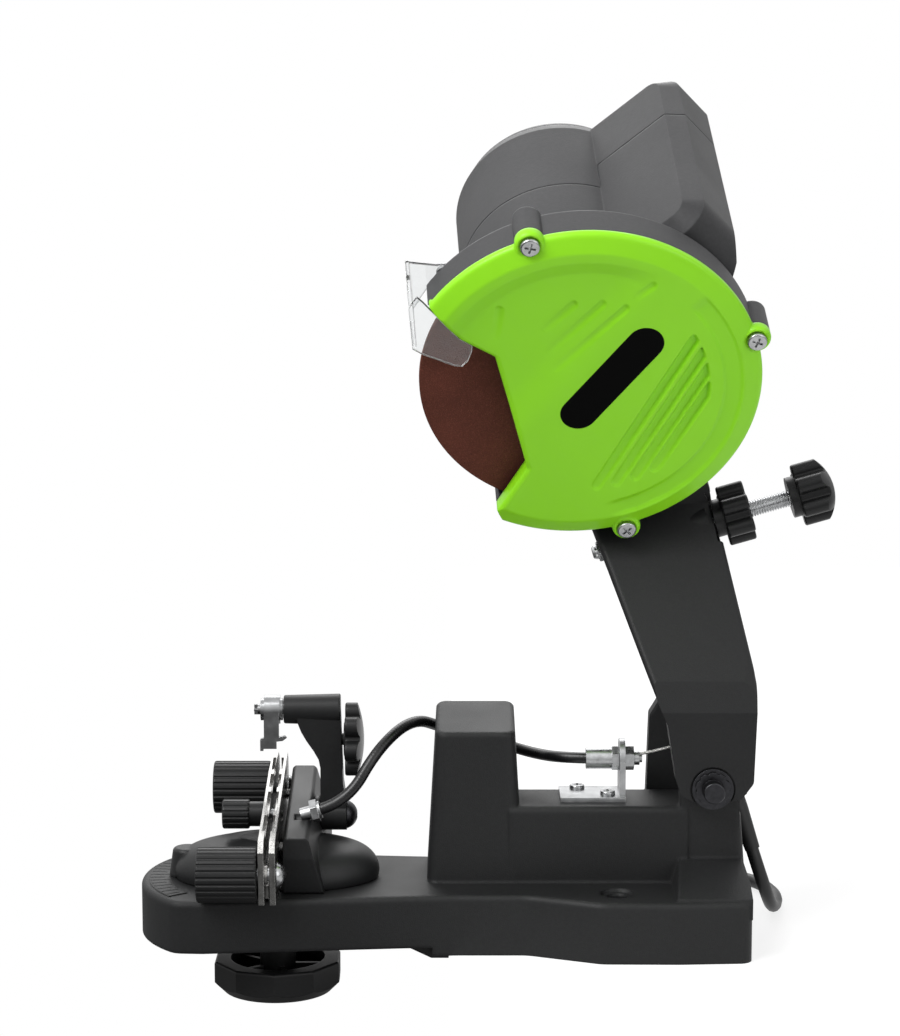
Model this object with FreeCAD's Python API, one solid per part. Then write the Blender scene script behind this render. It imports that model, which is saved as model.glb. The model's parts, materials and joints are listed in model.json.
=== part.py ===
import FreeCAD, Part
import math
import os

os.makedirs("parts", exist_ok=True)
V = FreeCAD.Vector
X = V(1, 0, 0)
Y = V(0, 1, 0)
Z = V(0, 0, 1)

# Row frame in mm: X towards the hinge end, Y away from the wheel's guard,
# Z up, z = 0 on the bench, origin midway between the two bench bolts.

# ---- driving dimensions -------------------------------------------------
WHEEL_R = 72.5          # 145 mm grinding wheel
WHEEL_T = 3.2
WHEEL_BORE_R = 11.1
WHEEL_AT = V(-19.4, -30.0, 269.9)
HEAD_LEAN = 30.0        # spindle raised to the rear
HEAD_YAW = -5.0
GUARD_R = 82.0
GUARD_FRONT = -14.0
GUARD_BACK = 9.5
MOTOR_R = 49.5
MOTOR_END = 148.0
HINGE_X = 44.1
HINGE_Z = 77.0
PIVOT_R = 5.0
RUN = 0.05              # radial running clearance
DECK_Z = 28.5
WALL = 4.0
BENCH_HOLE_Y = 31.0
BENCH_HOLE_R = 5.0
TABLE_X = -160.0
VISE_TILT = 10.0
PAWL_Y = 20.0
ROD_R = 4.0
CORD_R = 3.2
SHEATH_R = 2.7
WIRE_R = 0.75

HEAD = FreeCAD.Placement(WHEEL_AT, FreeCAD.Rotation(Y, HEAD_YAW).multiply(FreeCAD.Rotation(X, HEAD_LEAN)))
VISE = FreeCAD.Placement(V(TABLE_X, 0, 52.0), FreeCAD.Rotation(X, VISE_TILT))
ROD_DIR = V(88.5, 0, 25.2).normalize()
ROD_TIP = V(-8.0, 25.0, 180.2)

SCREW_AT = [(-18.6, 78.9), (79.3, 19.2), (17.5, -81.0)]
COIL_AT = V(-38.0, 134.0, CORD_R + 0.4)
COIL_R = 36.0
CORD_ROUTE = [V(57.6, 14, 66.0), V(64.35, 11.35, 46.5), V(72.0, 8.5, 22.5), V(79.0, 24.5, 4.2),
              V(85.0, 55.0, 3.6), V(75.0, 85.0, 3.6), V(47.0, 98.6, 3.6), V(18.0, 97.6, 3.6),
              V(-10.0, 98.4, 3.6), V(-38.0, 98.0, 3.6)]
CORD_DOWN = (CORD_ROUTE[1] - CORD_ROUTE[0]).normalize()
SWITCH_X = 51.5
SWITCH_W = 36.0
SHIELD_SCREWS = [(-57.0, 53.5), (-48.5, 53.5)]


# ---- helpers ------------------------------------------------------------
def box(x0, x1, y0, y1, z0, z1):
    return Part.makeBox(x1 - x0, y1 - y0, z1 - z0, V(x0, y0, z0))


def rod(r, p, axis, length):
    return Part.makeCylinder(r, length, p, axis)


def ring(ro, ri, p, axis, length):
    outer = rod(ro, p, axis, length)
    back = V(axis).normalize() * 1.0
    return outer.cut(rod(ri, p - back, axis, length + 2.0))


def xz_prism(pts, y0, y1):
    """Polygon of (x, z) corners carried along Y."""
    wire = Part.makePolygon([V(a, y0, b) for a, b in pts] + [V(pts[0][0], y0, pts[0][1])])
    return Part.Face(wire).extrude(V(0, y1 - y0, 0))


def xy_prism(pts, z0, z1):
    wire = Part.makePolygon([V(a, b, z0) for a, b in pts] + [V(pts[0][0], pts[0][1], z0)])
    return Part.Face(wire).extrude(V(0, 0, z1 - z0))


def yz_prism(pts, x0, x1):
    wire = Part.makePolygon([V(x0, a, b) for a, b in pts] + [V(x0, pts[0][0], pts[0][1])])
    return Part.Face(wire).extrude(V(x1 - x0, 0, 0))


def loft(*rings):
    """Ruled solid through polygons that have the same number of corners."""
    wires = [Part.makePolygon(list(r) + [r[0]]) for r in rings]
    solid = Part.makeLoft(wires, True, True)
    if solid.Volume < 0:
        solid.reverse()
    return solid


def hull(points):
    """Convex solid round a few corner points."""
    tol = 1e-4
    faces = []
    seen = []
    count = len(points)
    for i in range(count):
        for j in range(i + 1, count):
            for k in range(j + 1, count):
                n = (points[j] - points[i]).cross(points[k] - points[i])
                if n.Length < 1e-3:
                    continue
                n.normalize()
                side = [(q - points[i]).dot(n) for q in points]
                if max(side) > tol and min(side) < -tol:
                    continue
                if max(side) > tol:
                    n = n * -1.0
                key = (round(n.x, 3), round(n.y, 3), round(n.z, 3), round(n.dot(points[i]), 2))
                if key in seen:
                    continue
                seen.append(key)
                flat = [q for q, h in zip(points, side) if abs(h) < tol]
                mid = flat[0] * 0.0
                for q in flat:
                    mid = mid + q * (1.0 / len(flat))
                u = (flat[0] - mid).normalize()
                v = n.cross(u)
                flat.sort(key=lambda q: math.atan2((q - mid).dot(v), (q - mid).dot(u)))
                faces.append(Part.Face(Part.makePolygon(flat + [flat[0]])))
    solid = Part.Solid(Part.Shell(faces))
    if solid.Volume < 0:
        solid.reverse()
    return solid


def quad(x0, x1, y0, y1, z_near, z_far):
    return [V(x0, y0, z_near), V(x1, y0, z_near), V(x1, y1, z_far), V(x0, y1, z_far)]


def fuse(shapes):
    out = shapes[0]
    if len(shapes) > 1:
        out = out.multiFuse(shapes[1:])
    return out.removeSplitter()


def soften(shape, radius, wanted):
    """Round the edges that wanted() picks; an edge that can't take it stays sharp."""
    picked = [e for e in shape.Edges if wanted(e)]
    try:
        out = shape.makeFillet(radius, picked)
        if out.isValid() and out.Volume > 0.5 * shape.Volume:
            return out
    except Exception:
        pass
    out = shape
    for mark in [e.CenterOfMass for e in picked]:
        near = [e for e in out.Edges if (e.CenterOfMass - mark).Length < 0.05]
        if not near:
            continue
        try:
            trial = out.makeFillet(radius, near[:1])
        except Exception:
            continue
        if trial.isValid() and trial.Volume > 0.5 * shape.Volume:
            out = trial
    return out


def upright(e):
    a = e.valueAt(e.FirstParameter)
    b = e.valueAt(e.LastParameter)
    d = b - a
    return d.Length > 1e-6 and abs(d.z) / d.Length > 0.9


def at_height(z, tol=0.2):
    def pick(e):
        return abs(e.BoundBox.ZMin - z) < tol and abs(e.BoundBox.ZMax - z) < tol
    return pick


def hexagon(across, p, axis, length):
    """Hex prism of the given width across flats, from p along axis."""
    a = V(axis).normalize()
    side = X if abs(a.x) < 0.9 else Y
    u = a.cross(side).normalize()
    v = a.cross(u)
    r = across / math.sqrt(3.0)
    corner = [u * (r * math.cos(k * math.pi / 3)) + v * (r * math.sin(k * math.pi / 3)) + p
              for k in range(6)]
    return Part.Face(Part.makePolygon(corner + [corner[0]])).extrude(a * length)


def around(axis):
    a = V(axis).normalize()
    side = X if abs(a.x) < 0.9 else Y
    u = a.cross(side).normalize()
    return a, u, a.cross(u)


def fluted_knob(r, p, axis, length, flutes, depth):
    """Round grip with flutes, edges rounded."""
    a, u, v = around(axis)
    grip = rod(r, p, a, length)
    grip = soften(grip, 1.0, lambda e: e.Length > 4 * r)
    cuts = []
    for k in range(flutes):
        t = 2 * math.pi * k / flutes
        c = p + u * ((r + depth * 0.4) * math.cos(t)) + v * ((r + depth * 0.4) * math.sin(t))
        cuts.append(rod(depth, c - a, a, length + 2))
    return grip.cut(cuts)


def lobed_knob(r, p, axis, length, lobes):
    """Star grip with rounded lobes."""
    a, u, v = around(axis)
    solids = [rod(r * 0.70, p, a, length)]
    for k in range(lobes):
        t = 2 * math.pi * k / lobes
        c = p + u * (r * 0.74 * math.cos(t)) + v * (r * 0.74 * math.sin(t))
        solids.append(rod(r * 0.26, c, a, length))
    star = fuse(solids)
    return soften(star, 1.0, lambda e: e.Length > 2.0 and abs(e.BoundBox.DiagonalLength) < 99)


def domed(knob, tip, axis, r, drop):
    """The knob's outer face made a dome that falls by drop at the rim."""
    ball = (r * r + drop * drop) / (2 * drop)
    a = V(axis).normalize()
    return knob.common(Part.makeSphere(ball, tip - a * ball, a))


def cut_threads(solid, p, axis, r, start, stop, pitch):
    """Ring grooves that stand for a thread's relief."""
    a = V(axis).normalize()
    count = int((stop - start) / pitch)
    cuts = []
    for k in range(count):
        q = p + a * (start + pitch * k)
        cuts.append(ring(r + 1.0, r - 0.35, q, a, pitch * 0.45))
    return solid.cut(cuts) if cuts else solid


def route_wire(points):
    """Straight runs joined by tangent arcs; the arc radii are printed."""
    edges = []
    radii = []
    start = points[0]
    for i in range(1, len(points) - 1):
        a = points[i - 1] - points[i]
        b = points[i + 1] - points[i]
        shorter = min(a.Length, b.Length)
        ua = V(a).normalize()
        ub = V(b).normalize()
        turn = math.pi - ua.getAngle(ub)
        cut = 0.45 * shorter
        radius = cut / math.tan(turn / 2)
        radii.append(radius)
        p1 = points[i] + ua * cut
        p2 = points[i] + ub * cut
        inward = (ua + ub).normalize()
        centre = points[i] + inward * (radius / math.cos(turn / 2))
        mid = centre - inward * radius
        if (p1 - start).Length > 1e-4:
            edges.append(Part.LineSegment(start, p1).toShape())
        edges.append(Part.Arc(p1, mid, p2).toShape())
        start = p2
    edges.append(Part.LineSegment(start, points[-1]).toShape())
    print("   smallest bend %.1f mm" % min(radii))
    return Part.Wire(edges)


def tube_along(points, r, inner=0.0):
    wire = route_wire(points)
    d = (points[1] - points[0]).normalize()
    profile = Part.Wire(Part.makeCircle(r, points[0], d))
    body = wire.makePipeShell([profile], True, False)
    print("   length %.0f mm, volume ratio %.3f" % (wire.Length, body.Volume / (math.pi * r * r * wire.Length)))
    if inner > 0:
        hole = wire.makePipeShell([Part.Wire(Part.makeCircle(inner, points[0], d))], True, False)
        body = body.cut(hole)
    return body


def export(name, shape, placement=None):
    s = shape.copy()
    if placement is not None:
        s.Placement = placement.multiply(s.Placement)
    s.exportStep("parts/" + name + ".step")
    print("%-20s %2d solid  %9.0f mm3  valid %s" % (name, len(s.Solids), s.Volume, s.isValid()))


# ---- base ---------------------------------------------------------------
def deck_outline():
    half = [(-204.6, 45.5), (-192.0, 46.3), (-100.0, 37.5), (-74.0, 35.5), (-42.0, 35.5),
            (-8.0, 49.5), (28.0, 50.0), (61.5, 48.0)]
    near = [V(a, -b, 0) for a, b in half]
    far = [V(a, b, 0) for a, b in reversed(half)]
    edges = [Part.Arc(far[-1], V(-224.0, 0, 0), near[0]).toShape()]
    ringpts = near + far
    for a, b in zip(ringpts[:-1], ringpts[1:]):
        edges.append(Part.LineSegment(a, b).toShape())
    return Part.Face(Part.Wire(edges))


def base_casting():
    plan = deck_outline()
    plate = plan.extrude(V(0, 0, DECK_Z))
    plate = soften(plate, 9.0, lambda e: upright(e) and e.CenterOfMass.x < -180)
    plate = soften(plate, 14.0, lambda e: upright(e) and -110 < e.CenterOfMass.x < 10)
    plate = soften(plate, 6.0, lambda e: upright(e) and e.CenterOfMass.x > 55)
    plate = soften(plate, 2.5, at_height(DECK_Z))
    plate = plate.cut(box(-230, -86, -60, 60, -1, 4.0))
    inner = plan.makeOffset2D(-WALL).extrude(V(0, 0, DECK_Z - 5.0 + 1.0))
    inner.translate(V(0, 0, -1.0))
    hump = loft(quad(-89.0, -42.6, -13.4, 33.5, 24, 24), quad(-84.3, -47.2, -11.0, 31.0, 100.0, 107.4))
    hump = soften(hump, 5.0, upright)
    hump = soften(hump, 2.0, lambda e: e.BoundBox.ZMin > 95)
    hump = hump.cut(rod(3.2, V(-65.7, 9.6, 104.6), V(0, -0.17, 0.985), 4))
    hump_core = loft(quad(-84.0, -48.0, -8.5, 28.5, -1, -1), quad(-80.2, -51.2, -7.0, 26.8, 92.0, 98.0))
    spine = box(-50, 34, -13, 25, 20, 65)
    spine = soften(spine, 3.0, lambda e: abs(e.CenterOfMass.z - 65) < 0.1 and e.Length > 60)
    spine_core = box(-48, 24, -9, 21, -1, 60.5)
    post = loft(quad(28.2, 62.0, -12.0, 40.0, 22, 22), quad(28.6, 59.0, -12.0, 40.0, 61.0, 61.0))
    post = soften(post, 3.0, lambda e: upright(e) and e.CenterOfMass.x > 50)
    post_core = loft(quad(33, 57.5, -8, 36, -1, -1), quad(33, 54.5, -8, 36, 56, 56))
    near_ear = fuse([box(30.1, 58.1, -12, -4, 55, HINGE_Z), rod(14.0, V(HINGE_X, -12, HINGE_Z), Y, 8)])
    far_ear = xz_prism([(17, 55), (60, 55), (60, 84), (50, 108), (44, 114), (27, 114), (18.5, 100)], 30, 40)
    far_ear = soften(far_ear, 3.0, lambda e: abs(e.BoundBox.YLength - 10) < 0.1 and e.CenterOfMass.z > 70)
    far_foot = box(17, 34, 25, 40, 22, 61)
    foot = fuse([box(22, 61.5, -46, -10, 20, 40)])
    foot = foot.common(xz_prism([(24, 20), (61.5, 20), (61.5, 34), (59.8, 40), (30, 40)], -60, 60))
    foot = foot.common(yz_prism([(-46, 20), (-46, 29.5), (-14, 40), (0, 40), (0, 20)], 0, 80))
    lip = xz_prism([(-100, 3.9), (-86.5, -2.5), (-78.5, -2.5), (-78, 0), (-78, 4), (-100, 4.2)], -31.0, 31.0)
    arc = ring(60.5, 50.5, V(TABLE_X, 0, DECK_Z - 2), Z, 2.5)
    wedge = xy_prism([(TABLE_X, 0), (-245, 66), (-245, -66)], 20, 40)
    crescent = arc.common(wedge)
    bosses = [rod(16.0, V(TABLE_X, 0, 4.0), Z, 22)]
    for side in (-1, 1):
        bosses.append(rod(9.5, V(0, side * BENCH_HOLE_Y, 0), Z, 26))
        bosses.append(box(-2, 2, side * 40 - 8, side * 40 + 8, 0.5, 26))
    ribs = [box(-220, -86, -1.5, 1.5, 8, 26), box(-86, -84, -40, 40, 0, 26), box(-80, -78, -40, 40, 0, 26)]
    ribs.append(box(26, 30, -46, 46, 0.5, 26))
    ribs = [b.common(plan.extrude(V(0, 0, 27))) for b in ribs]
    shell = plate.cut(inner)
    body = fuse([shell, hump, spine, post, near_ear, far_ear, far_foot, foot, lip, crescent])
    body = body.cut([hump_core, spine_core, post_core])
    body = fuse([body] + bosses + ribs)
    cuts = [rod(7.05, V(TABLE_X, 0, -5), Z, 60)]
    for side in (-1, 1):
        cuts.append(rod(BENCH_HOLE_R, V(0, side * BENCH_HOLE_Y, -5), Z, 60))
        cuts.append(rod(8.0, V(0, side * BENCH_HOLE_Y, DECK_Z - 1.5), Z, 20 if side > 0 else 3))
    cuts.append(rod(PIVOT_R + RUN, V(HINGE_X, -60, HINGE_Z), Y, 140))
    for k in range(-7, 8):
        t = math.radians(5.0 * k)
        long = 7.0 if k % 2 else 9.0
        tick = box(-60.0, -60.0 + long, -0.35, 0.35, DECK_Z - 0.1, DECK_Z + 2)
        tick.rotate(V(0, 0, 0), Z, math.degrees(t))
        tick.translate(V(TABLE_X, 0, 0))
        cuts.append(tick)
    cuts.append(rod(4.65, CORD_ROUTE[0] - CORD_DOWN * 8, CORD_DOWN, 60))
    cuts.append(rod(6.3, CORD_ROUTE[0] - CORD_DOWN * 8, CORD_DOWN, 11.2))
    for x, y in ((-17.0, 15.0), (-3.0, 3.0)):
        cuts.append(rod(1.9, V(x, y, 50), Z, 30))
    return body.cut(cuts)


def cable_bracket():
    foot = box(-25.6, 5.3, -4.0, 20.0, 65.05, 67.3)
    foot = foot.cut([rod(2.2, V(-17, 15, 60), Z, 20), rod(2.2, V(-3, 3, 60), Z, 20)])
    tab = fuse([box(2.6, 5.3, -1.0, 19.0, 65.05, 83.5), rod(9.5, V(2.6, 9.0, 83.5), X, 2.7)])
    tab = tab.cut(rod(3.35, V(-5, 9.0, 83.5), X, 20))
    return fuse([foot, tab])


def bracket_screws():
    out = []
    for x, y in ((-17.0, 15.0), (-3.0, 3.0)):
        head = rod(3.6, V(x, y, 67.35), Z, 2.0)
        head = soften(head, 0.9, lambda e: abs(e.CenterOfMass.z - 69.35) < 0.1)
        slot = fuse([box(x - 2.2, x + 2.2, y - 0.5, y + 0.5, 68.4, 70),
                     box(x - 0.5, x + 0.5, y - 2.2, y + 2.2, 68.4, 70)])
        out.append(fuse([head, rod(1.8, V(x, y, 56), Z, 11.5)]).cut(slot))
    return Part.makeCompound(out)


def rear_ferrule():
    """Threaded cable end in the bracket, with its two nuts."""
    p = V(-13.2, 9.0, 83.5)
    body = fuse([rod(5.0, p, X, 12.4), rod(3.25, p, X, 25.5)])
    body = fuse([body, hexagon(10.0, V(-0.8, 9.0, 83.5), X, 3.3), hexagon(10.0, V(5.4, 9.0, 83.5), X, 4.2)])
    body = fuse([body, rod(2.0, V(11, 9, 83.5), X, 2.6)])
    return body.cut([rod(SHEATH_R + 0.05, V(-14, 9, 83.5), X, 9.0), rod(WIRE_R + 0.15, V(-14, 9, 83.5), X, 40)])


SHEATH_ROUTE = [V(-140.2, -12, 63.3), V(-126.0, -12.0, 67.1), V(-112.0, -4.0, 91.0), V(-95.5, 19, 101.0),
                V(-81.0, 38.5, 92.0), V(-57.5, 40.6, 85.3), V(-39.0, 32.5, 80.8), V(-23.5, 9.4, 83.4),
                V(-5.5, 9.0, 83.5)]


def cable_sheath():
    return tube_along(SHEATH_ROUTE, SHEATH_R, WIRE_R + 0.2)


def inner_wire():
    out = tube_along([V(-12.0, 9.0, 83.5), V(14.0, 9.0, 83.5), V(37.8, 9.0, 92.6)], WIRE_R)
    return out


def wire_nipple():
    return rod(2.4, V(40.0, 5.2, 94.5), Y, 7.6).cut(rod(WIRE_R + 0.05, V(36, 9, 91.9), V(23.8, 0, 9.1), 4.0))


def pivot_bolt():
    body = rod(PIVOT_R, V(HINGE_X, -36, HINGE_Z), Y, 94)
    body = soften(body, 0.8, lambda e: abs(e.CenterOfMass.y + 36) < 0.1)
    groove = ring(6, 4.4, V(HINGE_X, -30.4, HINGE_Z), Y, 1.2)
    head = hexagon(17.0, V(HINGE_X, 53.2, HINGE_Z), Y, 6.4)
    return fuse([body.cut(groove), head])


def pivot_rings():
    """Toothed push-on ring in the near recess and flat washers under head and ring."""
    p = V(HINGE_X, -28.6, HINGE_Z)
    star = ring(8.2, PIVOT_R + RUN, p, Y, 1.0)
    teeth = []
    for k in range(10):
        t = 2 * math.pi * k / 10
        c = p + V(9.0 * math.cos(t), -1, 9.0 * math.sin(t))
        teeth.append(rod(1.5, c, Y, 3.0))
    star = star.cut(teeth)
    plain = ring(9.6, PIVOT_R + RUN, V(HINGE_X, -27.3, HINGE_Z), Y, 1.5)
    rear = ring(10.0, PIVOT_R + RUN, V(HINGE_X, 51.2, HINGE_Z), Y, 1.8)
    return Part.makeCompound([star, plain, rear])


def return_spring():
    """Torsion spring round the pivot, one leg on the post and one on the arm."""
    helix = Part.makeHelix(3.6, 21.6, 11.5)
    start = helix.Edges[0].valueAt(helix.Edges[0].FirstParameter)
    profile = Part.Wire(Part.makeCircle(1.1, start, V(0, 1, 0)))
    coil = Part.Wire(helix.Edges).makePipeShell([profile], True, True)
    coil.rotate(V(0, 0, 0), X, -90)
    coil.translate(V(HINGE_X, 2.6, HINGE_Z))
    top = V(HINGE_X + 11.5, 2.6, HINGE_Z)
    leg_a = rod(1.1, V(top.x, top.y, top.z + 1.0), V(0, 0, -1), 15.0)
    leg_b = rod(1.1, V(top.x, 24.2, HINGE_Z - 1.0), V(0, 0, 1), 27.0)
    return fuse([coil, leg_a, leg_b])


def cord_gland():
    """Slanted grommet in the post's rear wall with its bend relief."""
    p = CORD_ROUTE[0]
    sleeve = rod(4.6, p, CORD_DOWN, 9.0)
    relief = Part.makeCone(4.6, 3.6, 20.0, p + CORD_DOWN * 9.0, CORD_DOWN)
    collar = rod(6.2, p + CORD_DOWN * 1.0, CORD_DOWN, 2.0)
    return fuse([sleeve, relief, collar]).cut(rod(CORD_R + 0.03, p - CORD_DOWN * 5, CORD_DOWN, 60))


# ---- turntable and vise -------------------------------------------------
def turntable():
    rings = []
    for z, a, b in ((28.8, 48.0, 31.5), (37.0, 47.4, 31.0), (41.0, 44.0, 28.4), (44.2, 37.5, 23.6),
                    (46.6, 28.0, 17.0), (47.8, 17.0, 10.0)):
        e = Part.Ellipse(V(TABLE_X, 0, z), a, b)
        rings.append(Part.Wire(e.toShape()))
    dome = Part.makeLoft(rings, True, False)
    nose = Part.makeCone(8.4, 6.6, 13.0, V(-202.6, 0, 29.6), Z)
    nose = soften(nose, 2.0, lambda e: e.BoundBox.ZMin > 42)
    section = [(-155, -40), (-155, 8.6), (-153.6, 10), (-144.4, 10), (-143, 8.6), (-136, -18), (-136, -40)]
    block = xz_prism([(a - TABLE_X, b) for a, b in section], -36.5, 51)
    block = soften(block, 1.5, lambda e: abs(e.BoundBox.YLength - 87.5) < 0.1 and e.CenterOfMass.z > 0)
    block.Placement = VISE
    block = block.common(box(-260, 0, -36.0, 50.0, 29.3, 120))
    notch = xz_prism([(-156, 54.5), (-152.5, 53.0), (-152.5, 51.0), (-156, 50.0)], -8, 16)
    boss = box(-154, -140.4, 6, 34, 29.3, 50)
    swell = fuse([rod(9.0, V(-148, PAWL_Y, 53.4), X, 7.7), box(-152, -141, 11, 29, 40, 53.4)])
    body = fuse([dome, nose, block, boss, swell]).cut(notch)
    cuts = [rod(4.95, V(TABLE_X, 0, 20), Z, 13.6), rod(2.1, V(-150, PAWL_Y, 53.4), X, 30)]
    cuts.append(rod(SHEATH_R + 0.8, V(-151, -12, 60.3), V(1, 0, 0.27), 20))
    for y in (-24.0, 38.0):
        q = VISE.multVec(V(0, y, 0.5))
        cuts.append(rod(2.6, V(-156, q.y, q.z), X, 8.0))
    slot = box(-6.6, 4.0, -70, 70, -18.2, 60)
    slot.Placement = VISE
    cuts.append(slot.common(box(-260, 0, -80, 80, 28.0, 120)))
    far = VISE.multVec(V(0, 50.0, -1.0))
    cuts.append(rod(7.4, V(-157, far.y, far.z), X, 5.4))
    cuts.append(rod(9.3, V(-140.3, PAWL_Y, 53.4), X, 20))
    return body.cut(cuts)


def turntable_stud():
    s = rod(4.9, V(TABLE_X, 0, -22), Z, 55.2)
    s = cut_threads(s, V(TABLE_X, 0, -22), Z, 4.9, 1.0, 24.0, 1.5)
    return s


RAIL_T = 2.6             # thickness of a jaw plate
RAIL_LEAD = 1.1          # how far the fixed jaw's far end leans in
RAIL_BARS = (-44.0, -21.0, 6.0, 27.0, 47.0)


def rail_plate(x0, lead, inner):
    """Jaw plate with cut corners; its far end leans by lead, and its inner top edge is relieved
    between short gripping bars."""
    pts = [(-57, -13), (-52, -17), (52, -17), (57, -12), (57, 12), (52, 17), (-52, 17), (-57, 13)]
    outline = yz_prism(pts, x0 - TABLE_X - 10, x0 - TABLE_X + 10)
    a = x0 - TABLE_X
    path = [(a, -60), (a, 28), (a + lead, 60), (a + lead + RAIL_T, 60), (a + RAIL_T, 28), (a + RAIL_T, -60)]
    plate = xy_prism(path, -20, 20).common(outline)
    side = a + RAIL_T - 1.3 if inner > 0 else a - 0.2
    for y0, y1 in zip(RAIL_BARS[:-1], RAIL_BARS[1:]):
        plate = plate.cut(box(side, side + 1.5, y0 + 2.5, y1 - 2.5, 13.4, 18))
    return plate


def rail_holes(r):
    out = []
    for y, z in ((-50.0, -1.0), (50.0, -1.0), (0.0, 7.0)):
        q = VISE.multVec(V(0, y, z))
        out.append(rod(r, V(-175, q.y, q.z), X, 40))
    return out


def clip_rail(rail):
    rail.Placement = VISE
    return rail.common(box(-260, 0, -70, 70, 29.0, 120))


def fixed_rail():
    return clip_rail(rail_plate(-165.2, RAIL_LEAD, 1)).cut(rail_holes(3.05))


def movable_rail():
    return clip_rail(rail_plate(-160.0, 0.0, -1)).cut(rail_holes(3.35))


def rail_spacers():
    """Chain rest strip and two end spacers on the fixed jaw."""
    out = []
    strip = box(-2.6, -1.25, -46, 46, -16, -8.5)
    strip.Placement = VISE
    out.append(strip.common(box(-260, 0, -70, 70, 29.3, 120)))
    for y in (-50.0, 50.0):
        q = VISE.multVec(V(0, y, -1.0))
        out.append(ring(4.4, 3.05, V(-162.6, q.y, q.z), X, 1.35))
    jaw = fixed_rail()
    return Part.makeCompound([piece.cut(jaw) for piece in out])


def rail_bolts():
    out = []
    for y in (-50.0, 50.0):
        q = VISE.multVec(V(0, y, -1.0))
        head = Part.makeSphere(6.2, V(-158.9, q.y, q.z))
        head = head.common(box(-156.9, -150, -80, 80, 0, 120))
        shank = rod(3.0, V(-178, q.y, q.z), X, 21.5)
        shank = cut_threads(shank, V(-178, q.y, q.z), X, 3.0, 0.5, 8.0, 1.0)
        out.append(fuse([shank, head]))
    return Part.makeCompound(out)


def end_knob_shape(y):
    q = VISE.multVec(V(0, y, -1.0))
    grip = fluted_knob(12.8, V(-193.5, q.y, q.z), X, 27.6, 26, 0.9)
    face = rod(9.6, V(-194, q.y, q.z), X, 1.6)
    bore = rod(3.1, V(-180, q.y, q.z), X, 20)
    return grip.cut([bore, ring(11.2, 9.9, V(-194, q.y, q.z), X, 1.2)])


def small_knob():
    q = VISE.multVec(V(0, 0, 7.0))
    head = fluted_knob(7.0, V(-185.4, q.y, q.z), X, 12.8, 16, 0.7)
    neck = rod(5.9, V(-172.7, q.y, q.z), X, 6.9)
    return fuse([head, neck]).cut(rod(2.5, V(-176, q.y, q.z), X, 20))


def adjuster_screw():
    q = VISE.multVec(V(0, 0, 7.0))
    s = rod(2.5, V(-176, q.y, q.z), X, 17.6)
    s = cut_threads(s, V(-176, q.y, q.z), X, 2.5, 9.0, 17.0, 0.9)
    return fuse([s, Part.makeCone(2.5, 1.2, 1.4, V(-158.4, q.y, q.z), X)])


def jaw_pins():
    """Two headed guide pins that carry the moving jaw in the block."""
    out = []
    for y in (-24.0, 38.0):
        q = VISE.multVec(V(0, y, 0.5))
        out.append(rod(1.6, V(-157.4, q.y, q.z), X, 8.6))
    return Part.makeCompound(out)


def jaw_springs():
    out = []
    for y in (-24.0, 38.0):
        q = VISE.multVec(V(0, y, 0.5))
        turns = [Part.makeTorus(2.15, 0.35, V(-156.9 + 0.95 * k, q.y, q.z), X) for k in range(7)]
        link = [rod(0.3, V(-156.9, q.y, q.z + 2.15), X, 5.7)]
        out.append(fuse(turns + link))
    return Part.makeCompound(out)


def front_ferrule():
    p = V(-142.9, -12, 62.5)
    d = V(1, 0, 0.27).normalize()
    nut = hexagon(9.6, p, d, 3.4)
    tail = rod(4.2, p + d * 3.4, d, 1.2)
    stem = rod(3.1, p - d * 5.0, d, 6.0)
    body = fuse([nut, tail, stem])
    return body.cut(rod(SHEATH_R + 0.35, p + d * 2.4, d, 9.0)).cut(rod(1.2, p - d * 9, d, 20))


def clamp_knob():
    outer = []
    for k in range(10):
        t = math.radians(36.0 * k + 18.0)
        outer.append((TABLE_X + 31.0 * math.cos(t), 31.0 * math.sin(t)))
    body = xy_prism(outer, -26, -11)
    body = soften(body, 1.2, lambda e: abs(e.BoundBox.ZLength) < 0.01 and e.CenterOfMass.z > -12)
    taper = Part.makeCone(26.0, 36.0, 10.0, V(TABLE_X, 0, -26), Z)
    body = body.common(fuse([taper, rod(36, V(TABLE_X, 0, -16.1), Z, 8)]))
    body = body.cut(rod(22.5, V(TABLE_X, 0, -21), Z, 20))
    ribs = [rod(8.5, V(TABLE_X, 0, -22), Z, 21.6)]
    for k in range(5):
        r = box(6, 24, -1.2, 1.2, -22, -14)
        r.rotate(V(0, 0, 0), Z, 72 * k)
        r.translate(V(TABLE_X, 0, 0))
        ribs.append(r)
    body = fuse([body] + ribs)
    return body.cut(rod(4.9 + RUN, V(TABLE_X, 0, -22.4), Z, 40))


def clamp_washer():
    return ring(13.0, 5.1, V(TABLE_X, 0, 0.4), Z, 2.0)


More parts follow.
